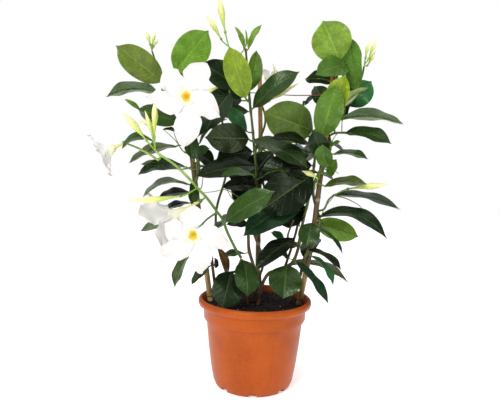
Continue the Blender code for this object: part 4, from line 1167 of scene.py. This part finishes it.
def blade_master(name, outline, columns, shifts=None):
    """A flat blade, one unit long on Y, shaped row by row from a grid to (place along, width)."""
    rows = len(outline) - 1
    deselect()
    bpy.ops.mesh.primitive_grid_add(x_subdivisions=columns, y_subdivisions=rows, size=1, location=(0, 0.5, 0))
    made = added(name)
    select_only(made)
    bpy.ops.object.transform_apply()
    for row, (along, share) in enumerate(outline):
        edit(made, lambda place: abs(place.y - row / rows) < 0.2 / rows)
        bpy.ops.transform.resize(value=(share, 1, 1))
    deselect()
    for vertex in made.data.vertices:
        row = round(vertex.co.y * rows)
        vertex.co.y = outline[row][0]
        if shifts:
            vertex.co.x += shifts[row]
    with_modifier(made, "SUBSURF", levels=2, render_levels=2)
    with_modifier(made, "SOLIDIFY", thickness=UNIT_THICK, offset=0, material_offset=1, material_offset_rim=0)
    return made


leaf_master = blade_master("leaf_master", LEAF_OUTLINE, 4)
print("one leaf has", len(leaf_master.data.polygons), "faces")


def blade_numbers(master):
    """For each vertex of a blade: its X and Y, which face it is on, and its place across by UV."""
    points = places(master)
    across = np.zeros(len(master.data.vertices))
    layer = master.data.uv_layers.active.data
    for loop in master.data.loops:
        across[loop.vertex_index] = layer[loop.index].uv[0]
    low, high = points[:, 1].min(), points[:, 1].max()
    width = points[:, 0].max() - points[:, 0].min()
    x, y = points[:, 0] / width, (points[:, 1] - low) / (high - low)
    return x, y, np.sign(points[:, 2]), across * 2 - 1


# %% Laying a leaf where it stands
LEAF_FOLD = 0.16
LEAF_WAVE = 0.10
VEIN_PAIRS = 9
VEIN_SLANT = 2.2
MIDRIB_DEPTH, MIDRIB_WIDTH = 2.2, 0.09


def laid_blade(master, numbers, name, base, tip, normal, wide, arch, fold, wave, thick, relief, frill, phase):
    """A copy of a flat blade, bent along its arched rib, folded and waved, and given its thickness."""
    x, along, side, across = numbers
    rib, right, face = blade_frame(base, tip, normal, arch, along)
    half = np.abs(x) * wide
    ripple = wave * half * np.sin(math.tau * 1.6 * along + 0.6)
    rise = fold * half - np.sign(across) * ripple
    edge = 2 * half * np.abs(across) ** 3
    rise += frill * edge * np.sin(math.tau * 3.4 * along + phase + 1.3 * np.sign(across))
    vein = np.cos(math.tau * (along * VEIN_PAIRS - np.abs(across) * VEIN_SLANT))
    sunk = relief * np.clip((1 - along) * 7, 0, 1)
    rise -= sunk * (1 - np.abs(across)) * (0.5 + 0.5 * vein) * np.minimum(1, np.abs(across) * 6)
    rise -= sunk * MIDRIB_DEPTH * np.exp(-(across / MIDRIB_WIDTH) ** 2)
    body = thick * (0.45 + 0.55 * (1 - np.abs(across) ** 2)) * (1 - 0.55 * along)
    made = copy_of(master, name)
    set_places(made, (rib + right * (x * wide)[:, None] + face * (rise + side * body / 2)[:, None]) * MM)
    return made


def painted(made, tone):
    """Gives every point of a piece its tone, as a colour attribute that its finish reads."""
    layer = made.data.color_attributes.new("tone", "FLOAT_COLOR", "POINT")
    layer.data.foreach_set("color", np.tile(np.array(tone, np.float32), len(made.data.vertices)))


# %% [markdown]
# ## The leaf's finish
# A waxy leaf shows its own tone, a little uneven, with paler patches painted on as highlights, a paler sunken
# midrib and fine side veins that curve towards the tip. Its wax gives a soft sheen that is broken by the
# quilting between the veins. The underside is paler and duller, and its veins stand out. Both read the tone
# of each leaf, with the light and shade painted into it, and the place across and along it.

# %% Leaf finishes
def leaf_finish(name, underside):
    leaf = Finish(name, Specular_IOR_Level=0.18 if underside else 0.36, Specular_Tint=(0.72, 0.92, 0.6, 1))
    uv = leaf.add("ShaderNodeUVMap", {"uv_map": "UVMap"})
    across, along = abs(leaf.part(uv, "X") * 2 - 1), leaf.part(uv, "Y")
    spot = leaf.place()
    patches, grain = leaf.noise(spot, 55, 3), leaf.noise(spot, 620, 2)
    midrib = 1 - across.between(0.015, 0.05)
    line = abs((along * VEIN_PAIRS - across * VEIN_SLANT + 0.5).maths("FRACT") - 0.5) * 2
    side_veins = (1 - line.between(0.0, 0.16)) * (1 - across.between(0.7, 1.0)) * across.between(0.02, 0.1)
    side_veins = side_veins * (1 - along.between(0.82, 0.96))
    net = (1 - leaf.add("ShaderNodeTexVoronoi", {"feature": "DISTANCE_TO_EDGE"},
                        {"Vector": spot, "Scale": 260}).between(0.0, 0.1))
    tone = leaf.colour("tone")
    tone = leaf.mix(patches.between(0.35, 0.65) * 0.6, tone, leaf.tinted(tone, 0.5, 0.58, 0.5))
    # Painted highlight: paler patches stand for light catching the waxy leaf.
    lit_patches = leaf.noise(spot, 95, 4, 0.65).between(0.52, 0.72)
    tone = leaf.mix(lit_patches * 0.5, tone, leaf.tinted(tone, 1.9, 1.6, 1.2))
    flecks = leaf.noise(spot, 250, 3, 0.6).between(0.42, 0.66)
    tone = leaf.mix(flecks * 0.34, tone, leaf.tinted(tone, 1.8, 1.55, 1.2))
    if underside:
        tone = leaf.mix(0.36, tone, srgb(108, 128, 92))
    paler = leaf.tinted(tone, 2.0, 1.75, 1.3)
    tone = leaf.mix(side_veins * 0.2 + net * 0.03, tone, paler)
    tone = leaf.mix(midrib * 0.7, tone, leaf.mix(0.3, paler, srgb(120, 142, 68)))
    tone = leaf.mix(across.between(0.93, 1.0) * 0.35, tone, paler)
    quilt = leaf.noise(spot, 170, 2)
    relief = quilt * 1.4 + grain * 0.1 - side_veins * 0.7 - net * 0.05 - midrib * 0.4
    if underside:
        relief = quilt * 0.5 + grain * 0.2 + side_veins * 0.6 + net * 0.1
    leaf.feed(Base_Color=tone, Roughness=patches * 0.26 + (0.44 if underside else 0.16),
              Normal=leaf.bump(relief, 0.5, 0.8))
    return leaf


leaf_top, leaf_under = leaf_finish("leaf_top", False), leaf_finish("leaf_underside", True)

green_bark = Finish("green_stem", Specular_IOR_Level=0.4)
spot = green_bark.place()
height = green_bark.part(spot, "Z")
streak = green_bark.noise(green_bark.place((240, 240, 40)), 1, 4)
woody = 1 - height.between(0.15, 0.30)
tone = green_bark.mix(streak.between(0.3, 0.7), srgb(60, 78, 28), srgb(98, 114, 42))
old_bark = green_bark.mix(streak.between(0.4, 0.6), srgb(74, 52, 30), srgb(108, 82, 48))
tone = green_bark.mix(woody, tone, old_bark)
green_bark.feed(Base_Color=tone, Roughness=streak * 0.3 + 0.35, Normal=green_bark.bump(streak, 0.4, 0.7))

petiole = Finish("green_petiole", Specular_IOR_Level=0.45)
spot = petiole.place()
streak = petiole.noise(spot, 130, 3)
petiole.feed(Base_Color=petiole.mix(streak.between(0.35, 0.7), srgb(74, 108, 34), srgb(118, 146, 56)),
             Roughness=streak * 0.25 + 0.3)

# %% [markdown]
# ## Leafy stems
# A stem and its side branches are bars of a curve, drawn through the coarse routes, a little thicker
# where leaves join. Each leaf's stalk leaves the stem, sags, and runs on under the blade as the raised
# midrib, thinner and thinner to the tip. A few stalks that have lost their leaf stay as thin twigs, as
# they do in the photograph. All that grows on one stem becomes one piece.

# %% Leafy stems
BAR_STEP = 4.0
style_chance = random.Random(12)
leaf_numbers = blade_numbers(leaf_master)


def add_stem_bars(bars, stem, roots, slot):
    """The bars of a stem and its branches, with small swellings where leaves join."""
    for number, route in enumerate(stem.routes):
        fine = curve_through(route, BAR_STEP)
        first, end = stem.radii
        if number > 0:
            first, end = end * BRANCH_START, end * BRANCH_END
        radii = []
        for i, place in enumerate(fine):
            near = min([(place - root).length for root in roots] + [99])
            radii.append(first + (end - first) * i / (len(fine) - 1) + 0.45 * math.exp(-(near / 4) ** 2))
        add_bar(bars, fine, radii, slot)


TWIGS = {
    "stem_right": [
        [(101, 351, -8), (92, 374, -16), (84, 385, -12)],
        [(103, 351, -10), (104, 374, -20), (106, 392, -22)],
        [(108, 354, -8), (117, 376, -12), (124, 384, -8)],
        [(99, 326, -8), (94, 308, -14), (91, 297, -10)],
        [(102, 258, -6), (107, 270, -8), (123, 292, -6)],
        [(108, 318, -8), (118, 326, -14), (126, 322, -12)],
        [(124, 288, -2), (138, 285, -6), (157, 276, -8), (167, 266, -6)],
    ],
    "stem_left": [
        [(-109, 349, -4), (-122, 365, -8), (-140, 381, -8)],
        [(-107, 347, -2), (-119, 363, -4), (-126, 381, 0)],
        [(-82, 294, -4), (-80, 304, -8), (-79, 313, -6)],
    ],
    "stem_centre_left": [
        [(-4, 270, 12), (-24, 282, 2), (-44, 293, -6), (-61, 290, -10), (-80, 287, -12)],
        [(-6, 262, 8), (-32, 278, 0), (-42, 292, -4)],
    ],
}
TWIG_THICK = 0.75
LEAF_THICK = 0.8
LEAF_RELIEF, LEAF_FRILL = 0.005, 0.012
RIB_SHARES = [0.0, 0.06, 0.14, 0.24, 0.36, 0.5, 0.64, 0.78, 0.9, 0.97]
STEM_SLOT, STALK_SLOT = 2, 3


def leafy(name, stem, placed, stem_finish):
    """One stem with its branches, stalks and leaves as one piece."""
    bars = new_bars(name, leaf_top, leaf_under, stem_finish, petiole)
    add_stem_bars(bars, stem, [leaf.root for leaf in placed], STEM_SLOT)
    for readings in TWIGS.get(stem.name, []):
        twig = [at(*r) for r in readings]
        route = curve_through([nearest_on(stem.routes, twig[0])[1]] + twig, 3)
        radii = [TWIG_THICK * (1.3 - 0.7 * i / len(route)) for i in range(len(route))]
        add_bar(bars, route, radii, STALK_SLOT)
    parts = []
    for leaf in placed:
        long = (leaf.tip - leaf.base).length
        made = laid_blade(leaf_master, leaf_numbers, "leaf", leaf.base, leaf.tip, leaf.normal, leaf.wide,
                          leaf.arch, LEAF_FOLD, LEAF_WAVE, LEAF_THICK, LEAF_RELIEF * long, LEAF_FRILL,
                          style_chance.uniform(0, math.tau))
        for slot in (leaf_top, leaf_under):
            made.data.materials.append(slot.material)
        lighter = style_chance.uniform(0.88, 1.12)
        painted(made, [c * lighter for c in srgb(*TONES[leaf.tone])[:3]] + [1])
        parts.append(made)
        middle = (leaf.root + leaf.base) / 2 - Vector((0, 0, 0.10 * (leaf.base - leaf.root).length))
        rib, _, face = blade_frame(leaf.base, leaf.tip, leaf.normal, leaf.arch, RIB_SHARES)
        under = [Vector(r - f * (0.55 + 0.011 * long)) for r, f in zip(rib, face)]
        thick = min(1.25, 0.35 + 0.013 * long)
        stalk = curve_through([leaf.root, middle, Vector(rib[0])], 3)[:-1]
        radii = [thick * (1.15 - 0.15 * i / len(stalk)) for i in range(len(stalk))]
        radii += [thick * (1 - 0.85 * share) for share in RIB_SHARES]
        add_bar(bars, stalk + under, radii, STALK_SLOT)
    mesh = made_mesh(bars)
    painted(mesh, srgb(90, 110, 50))
    made = joined([mesh] + parts, name)
    smooth(made, 60)
    return made


for name, stem in stems.items():
    if name != "flowering_shoot":
        dressed(leafy("leafy_" + name, stem, leaves[name], green_bark), "foliage", name)

# %% [markdown]
# ## Flowers
# The flower is a trumpet: a narrow tube that widens to a yellow throat, and five broad lobes that
# overlap like the blades of a windmill, each fuller on one side and drawn out to a small corner. The
# trumpet is turned once and copied, and so is one lobe. A number, reach, goes with both: 0 deep in the
# throat, 1 at its rim and 2 at a lobe's tip, and the finish turns from yellow to white by it.

# %% The trumpet and the lobe
TRUMPET = (
    (1.9, -1), (2.0, -0.8), (2.3, -0.55), (3.6, -0.49), (5.6, -0.42), (6.8, -0.30), (8.2, -0.16),
    (9.4, -0.07), (11.4, 0.0), (11.0, 0.010), (9.2, -0.03), (7.4, -0.07), (6.0, -0.12), (4.6, -0.18),
    (3.0, -0.24), (1.6, -0.275), (0.5, -0.285),
)
LOBE_OUTLINE = ((0, 0.48), (0.14, 0.68), (0.28, 0.90), (0.43, 1.06), (0.58, 1.10), (0.74, 0.96), (0.89, 0.60),
                (1.0, 0.10))
LOBE_SHIFTS = (0, 0, 0.02, 0.05, 0.10, 0.16, 0.24, 0.36)
trumpet_master = turned_shape("trumpet_master", 30, TRUMPET, 1)
lobe_master = blade_master("lobe_master", LOBE_OUTLINE, 4, LOBE_SHIFTS)
lobe_numbers = blade_numbers(lobe_master)
print("trumpet and lobe:", len(trumpet_master.data.polygons), len(lobe_master.data.polygons), "faces")


def numbered(made, name, values):
    """Gives every point of a piece a number that its finish reads."""
    layer = made.data.attributes.new(name, "FLOAT", "POINT")
    layer.data.foreach_set("value", np.asarray(values, np.float32))


# %% [markdown]
# ## Petal and trumpet finishes
# Petals are thin, soft and almost pure white, with hardly any shine. Light comes through them from behind,
# and a little glow of their own colour stands for it. Faint veins run out to the margin, which is a trace
# pinker and a trace darker: a pink tint, and painted shade at the lobes' edges. The throat is a deep yellow,
# and the outside of the tube is a pale yellow-green.

# %% Petal finishes
petal = Finish("white_petal", Roughness=0.6, Specular_IOR_Level=0.1, Emission_Strength=0.42)
reach = petal.number("reach")
uv = petal.add("ShaderNodeUVMap", {"uv_map": "UVMap"})
fan = (petal.part(uv, "X") * 90 + petal.noise(petal.place(), 30, 2) * 5).maths("SINE") * 0.5 + 0.5
fan = fan * reach.between(1.05, 1.4)
tone = petal.mix(reach.between(0.38, 0.60), srgb(196, 166, 52), srgb(206, 182, 82))
tone = petal.mix(reach.between(0.74, 0.90), tone, srgb(216, 208, 170))
tone = petal.mix(reach.between(0.88, 1.06), tone, srgb(198, 197, 194))
# Painted shade with a pink tint towards the lobes' tips.
tone = petal.mix(reach.between(1.45, 1.95) * 0.6, tone, srgb(192, 183, 183))
tone = petal.mix(fan * 0.18, tone, srgb(184, 176, 174))
petal.feed(Base_Color=tone, Emission_Color=tone, Normal=petal.bump(fan, 0.05, 0.4))
tube_skin = Finish("flower_tube", Roughness=0.5, Specular_IOR_Level=0.3)
reach = tube_skin.number("reach")
tube_skin.feed(Base_Color=tube_skin.mix(reach.between(-0.6, 0.9), srgb(216, 214, 130), srgb(250, 248, 226)))

# %% Blooms
PETAL_THICK = 0.7
LOBE_FOLD = 0.02
LOBE_WAVE = 0.16
LOBE_LEANS = (-0.18, -0.16, 0.22, 0.0, 0.14)
LOBE_FRILL = 0.05
LOBE_START, LOBE_START_SIDEWAYS, LOBE_START_DEPTH = 8.0, 2.2, 4
THROAT_DEPTH = 0.46
WIDER_LOBES = {"bloom_c": (8, 8, 16)}


def laid_trumpet(name, base, mouth):
    axis = (mouth - base).normalized()
    right = (Vector((1, 0, 0)) - axis * axis.x).normalized()
    up = axis.cross(right)
    long = (mouth - base).length
    made = copy_of(trumpet_master, name)
    points = places(made)
    rows = np.array([tuple(right), tuple(up), tuple(axis * long)])
    set_places(made, (points @ rows + np.array(tuple(mouth))) * MM)
    numbered(made, "reach", 1 + points[:, 2] / THROAT_DEPTH)
    if not made.data.uv_layers:
        made.data.uv_layers.new(name="UVMap")
    made.data.materials.append(petal.material)
    made.data.materials.append(tube_skin.material)
    for face in made.data.polygons:
        face.material_index = 1 if outside(face, mouth, axis) else 0
    return made


def outside(face, mouth, axis):
    """Whether a face of the trumpet looks away from its axis."""
    arm = face.center / MM - mouth
    return (arm - axis * arm.dot(axis)).dot(face.normal) > 0


def laid_lobe(name, mouth, axis, angle, length, width, lift, lean, phase):
    """A lobe that reaches outwards from the mouth, its tip drawn to one side by its lean."""
    right = (Vector((1, 0, 0)) - axis * axis.x).normalized()
    up = axis.cross(right)
    outward = right * math.cos(math.radians(angle)) + up * math.sin(math.radians(angle))
    start = LOBE_START - LOBE_START_SIDEWAYS * abs(math.cos(math.radians(angle)))
    base = mouth + outward * start - axis * LOBE_START_DEPTH
    tip = mouth + outward * length + axis * lift
    x, along, side, across = lobe_numbers
    margin = 1 + 0.05 * np.sin(17 * along + phase) * np.abs(across)
    ragged = (x * margin + lean * along ** 2, along, side, across)
    made = laid_blade(lobe_master, ragged, name, base, tip, axis, width, 0.05 * length + 3, LOBE_FOLD,
                      LOBE_WAVE, PETAL_THICK, 0.0, LOBE_FRILL, phase)
    numbered(made, "reach", 1 + along)
    made.data.materials.append(petal.material)
    return made


for number, (name, (base, mouth, lobes, lift)) in enumerate(BLOOMS.items()):
    base, mouth = at(*base), at(*mouth)
    axis = (mouth - base).normalized()
    parts = [laid_trumpet(name, base, mouth)]
    longer, wider, forward = WIDER_LOBES.get(name, (0, 0, 0))
    for turn, (angle, length, width) in enumerate(lobes):
        lean = LOBE_LEANS[(turn + number) % len(LOBE_LEANS)]
        parts.append(laid_lobe("lobe", mouth, axis, angle, length + longer, width + wider, lift + forward,
                               lean, number + turn * 2.1))
    bloom = joined(parts, "white_" + name)
    smooth(bloom, 60)
    dressed(bloom, "petal", name)

# %% [markdown]
# ## Flower stalks
# The flowering shoot is a stem like the others, bright green and thicker, with two leaves. Each bloom
# stands in a calyx, a small green cup with five teeth, on a short stalk.

# %% Flower stalks
CALYX_LONG = 7.0
TOOTH_LONG = 5.0
TEETH = 5
CUP_STOPS, CUP_RADII = (0.35, 0.75), (1.3, 2.2, 2.7, 2.4)
STALK_RADIUS = 1.3

shoot_skin = Finish("bright_shoot", Specular_IOR_Level=0.45)
spot = shoot_skin.place()
streak = shoot_skin.noise(spot, 90, 3)
low = 1 - shoot_skin.part(spot, "Z").between(0.25, 0.35)
tone = shoot_skin.mix(streak.between(0.35, 0.68), srgb(118, 154, 54), srgb(158, 188, 84))
shoot_skin.feed(Base_Color=shoot_skin.mix(low * 0.85, tone, srgb(58, 92, 32)), Roughness=streak * 0.2 + 0.3)


def calyx_ends(bloom):
    """Where a bloom's calyx starts and ends, and the way that it looks."""
    base, mouth = at(*BLOOMS[bloom][0]), at(*BLOOMS[bloom][1])
    axis = (mouth - base).normalized()
    return base - axis * (CALYX_LONG - 1), base - axis * FIT_GAP, axis


def add_calyx(bars, foot, top, axis, size=1.0):
    """The cup of a flower or bud, with five pointed teeth."""
    cup = [foot] + [foot.lerp(top, share) for share in CUP_STOPS] + [top]
    add_bar(bars, cup, [radius * size for radius in CUP_RADII])
    side = axis.orthogonal().normalized()
    for tooth in range(TEETH):
        turn = math.tau * tooth / TEETH
        out = side * math.cos(turn) + axis.cross(side) * math.sin(turn)
        start = foot.lerp(top, 0.6) + out * 1.9 * size
        points = [start, start + (axis * 0.5 + out * 0.22) * TOOTH_LONG * size,
                  start + (axis + out * 0.3) * TOOTH_LONG * size]
        add_bar(bars, points, [1.0 * size, 0.75 * size, 0.15 * size])


def with_calyxes(bars, stem, blooms):
    for bloom in blooms:
        foot, top, axis = calyx_ends(bloom)
        root = nearest_on(stem.routes, foot)[1]
        route = curve_through([root, foot], 3)
        add_bar(bars, route, [STALK_RADIUS] * len(route))
        add_calyx(bars, foot, top, axis)


shoot = stems["flowering_shoot"]
bars = new_bars("shoot_bars", shoot_skin)
with_calyxes(bars, shoot, ("bloom_b", "bloom_c", "bloom_d"))
parts = [made_mesh(bars), leafy("shoot_leaves", shoot, leaves["flowering_shoot"], shoot_skin)]
dressed(joined(parts, "flowering_shoot_stalk"), "green_shoot", "flowering_shoot")

for name, (carrier, readings, bloom) in STALKS.items():
    foot, top, axis = calyx_ends(bloom)
    route = curve_through(seated(stems[carrier], readings, 1.2) + [foot], 3)
    bars = new_bars(name + "_green", shoot_skin)
    add_bar(bars, route, [STALK_RADIUS] * len(route))
    add_calyx(bars, foot, top, axis)
    dressed(made_mesh(bars), "green_shoot", name)

# %% [markdown]
# ## Buds
# A bud is a furled flower on a thin stalk: a small calyx, a slim tube, a swelling where the lobes are
# rolled up, and a long point. It is turned once per bud for its own width, its upper part is given the
# three spiral folds of the rolled lobes, and it is laid along its route.

# %% Buds
BUD_PROFILE = ((0, 0.9, 0), (0.18, 1.0, 0), (0.27, 1.3, 0), (0.36, 1.2, 0), (0.50, 0, 0.32), (0.60, 0, 0.46),
               (0.68, 0, 0.50), (0.78, 0, 0.40), (0.88, 0, 0.22), (1.0, 0.25, 0))
BUD_AROUND = 18
BUD_RINGS = 36
CALYX_AT = 0.25
FURL_FROM, FURL_OVER = 0.42, 0.12
FOLDS, FOLD_TURNS, FOLD_DEPTH = 3, 0.9, 0.07
CALYX_BELOW, CALYX_ABOVE = 2.2, 1.2

bud_skin = Finish("furled_bud", Roughness=0.45, Specular_IOR_Level=0.35, Subsurface_Weight=0.1,
                  Subsurface_Radius=(0.003, 0.003, 0.002), Subsurface_Scale=1.0)
ripe, fold = bud_skin.number("ripe"), bud_skin.number("fold")
tone = bud_skin.mix(ripe.between(0.2, 0.5), srgb(134, 172, 64), srgb(190, 208, 98))
tone = bud_skin.mix(ripe.between(0.45, 0.85), tone, srgb(244, 240, 172))
tone = bud_skin.mix(fold * ripe.between(0.4, 0.6) * 0.25, tone, srgb(190, 200, 96))
bud_skin.feed(Base_Color=tone)


def bud_route(points):
    return curve_through(points, (points[-1] - points[0]).length / 7)


def furled_bud(name, route, width):
    """One bud of a width, with its folds, laid along its route."""
    profile = []
    stops = [stop[0] for stop in BUD_PROFILE]
    radii = [fixed + share * width for _, fixed, share in BUD_PROFILE]
    for ring in range(BUD_RINGS + 1):
        height = ring / BUD_RINGS
        profile.append((max(float(np.interp(height, stops, radii)), 0.2), height))
    made = turned_shape(name, BUD_AROUND, profile, 1)
    points = places(made)
    turn = np.arctan2(points[:, 1], points[:, 0])
    furled = np.clip((points[:, 2] - FURL_FROM) / FURL_OVER, 0, 1)
    wave = np.cos(FOLDS * (turn - math.tau * FOLD_TURNS * points[:, 2]))
    points[:, :2] *= (1 + furled * FOLD_DEPTH * wave)[:, None]
    set_places(made, points)
    numbered(made, "ripe", points[:, 2])
    numbered(made, "fold", furled * np.clip(-wave, 0, 1))
    laid_along(made, curve_through(route, 3))
    made.data.materials.append(bud_skin.material)
    return made


for name, (carrier, buds) in SPRAYS.items():
    foot = seated(stems[carrier], buds[0][0], 1.0)[0]
    parts = []
    bars = new_bars(name + "_calyxes", shoot_skin)
    for readings, width in buds:
        points = [at(*r) for r in readings]
        points[0] = foot
        route = bud_route(points)
        parts.append(furled_bud("bud", route, width))
        fine = curve_through(route, 1.0)
        cup = int(len(fine) * CALYX_AT)
        axis = (fine[cup + 1] - fine[cup - 1]).normalized()
        below, above = fine[cup] - axis * CALYX_BELOW, fine[cup] + axis * CALYX_ABOVE
        add_calyx(bars, below, above, axis, 0.3 + 0.035 * width)
    parts.append(made_mesh(bars))
    spray = joined(parts, name + "_furled")
    smooth(spray, 60)
    dressed(spray, "bud", name)
for master in (leaf_master, lobe_master, trumpet_master):
    bpy.data.objects.remove(master)

# %% [markdown]
# ## Floor, light and camera
# A plain white floor meets a white background. The floor glows a little, and a very broad sun overhead
# stands for a studio's white ceiling. Together they keep the whole floor white and the shadow at the pot's
# foot soft. A broad soft lamp stands in front, high on the left, with a weaker one on the right. The
# leaves' deep greens need little light from all round, so the background is bright only where the camera
# sees it. The camera stands where the photographer stood: almost level with the middle of the plant,
# close enough that the front of it looms, and rolled by a little more than a degree and a half.

# %% Floor and background
deselect()
bpy.ops.mesh.primitive_plane_add(size=8)
floor = added("floor")
floor_finish = Finish("white_floor", Roughness=0.9, Specular_IOR_Level=0.0, Emission_Strength=0.42)
floor_finish.shader.inputs["Emission Color"].default_value = (1, 1, 1, 1)
floor_spot = floor_finish.place()
floor_finish.feed(Base_Color=floor_finish.mix(floor_finish.noise(floor_spot, 3, 2), srgb(250, 250, 250),
                                              srgb(254, 254, 254)))
floor.data.materials.append(floor_finish.material)

world = bpy.data.worlds.new("studio")
bpy.context.scene.world = world
world.use_nodes = True
background = world.node_tree.nodes["Background"]
background.inputs["Color"].default_value = (1, 1, 1, 1)
paths = world.node_tree.nodes.new("ShaderNodeLightPath")
strength = world.node_tree.nodes.new("ShaderNodeMapRange")
strength.inputs["To Min"].default_value = 0.15
strength.inputs["To Max"].default_value = 1.0
world.node_tree.links.new(paths.outputs["Is Camera Ray"], strength.inputs["Value"])
world.node_tree.links.new(strength.outputs["Result"], background.inputs["Strength"])


def soft_lamp(name, place, aim, size, watts):
    deselect()
    bpy.ops.object.light_add(type="AREA", location=place)
    lamp = bpy.context.object
    lamp.name = name
    lamp.data.shape = "DISK"
    lamp.data.size = size
    lamp.data.energy = watts
    lamp.rotation_euler = (Vector(aim) - Vector(place)).to_track_quat("-Z", "Y").to_euler()


soft_lamp("key_lamp", (-0.8, -1.5, 1.3), (0, 0, 0.3), 0.9, 23)
soft_lamp("fill_lamp", (1.3, -1.2, 0.7), (0, 0, 0.3), 1.0, 7)
deselect()
bpy.ops.object.light_add(type="SUN", rotation=(math.radians(-14), math.radians(-10), 0))
ceiling = bpy.context.object
ceiling.name = "white_ceiling"
ceiling.data.energy = 2.1
ceiling.data.angle = math.radians(110)

# %% Camera
LENS_MM = 32.76
CAMERA_AIM_UP = 278.5
ROLL = math.radians(1.6)
SENSOR_MM = 36
pitch = math.atan2(EYE.z - CAMERA_AIM_UP, -EYE.y)
forward = Vector((0, math.cos(pitch), -math.sin(pitch)))
level = Vector((1, 0, 0))
above = level.cross(forward)
right = level * math.cos(ROLL) + above * math.sin(ROLL)
up = above * math.cos(ROLL) - level * math.sin(ROLL)
deselect()
bpy.ops.object.camera_add(location=EYE * MM)
camera = bpy.context.object
camera.name = "photographer"
camera.data.lens = LENS_MM
camera.data.sensor_width = SENSOR_MM
camera.data.clip_start = 0.01
camera.rotation_euler = Matrix((right, up, -forward)).transposed().to_euler()
bpy.context.scene.camera = camera
bpy.context.scene.view_settings.view_transform = "Standard"
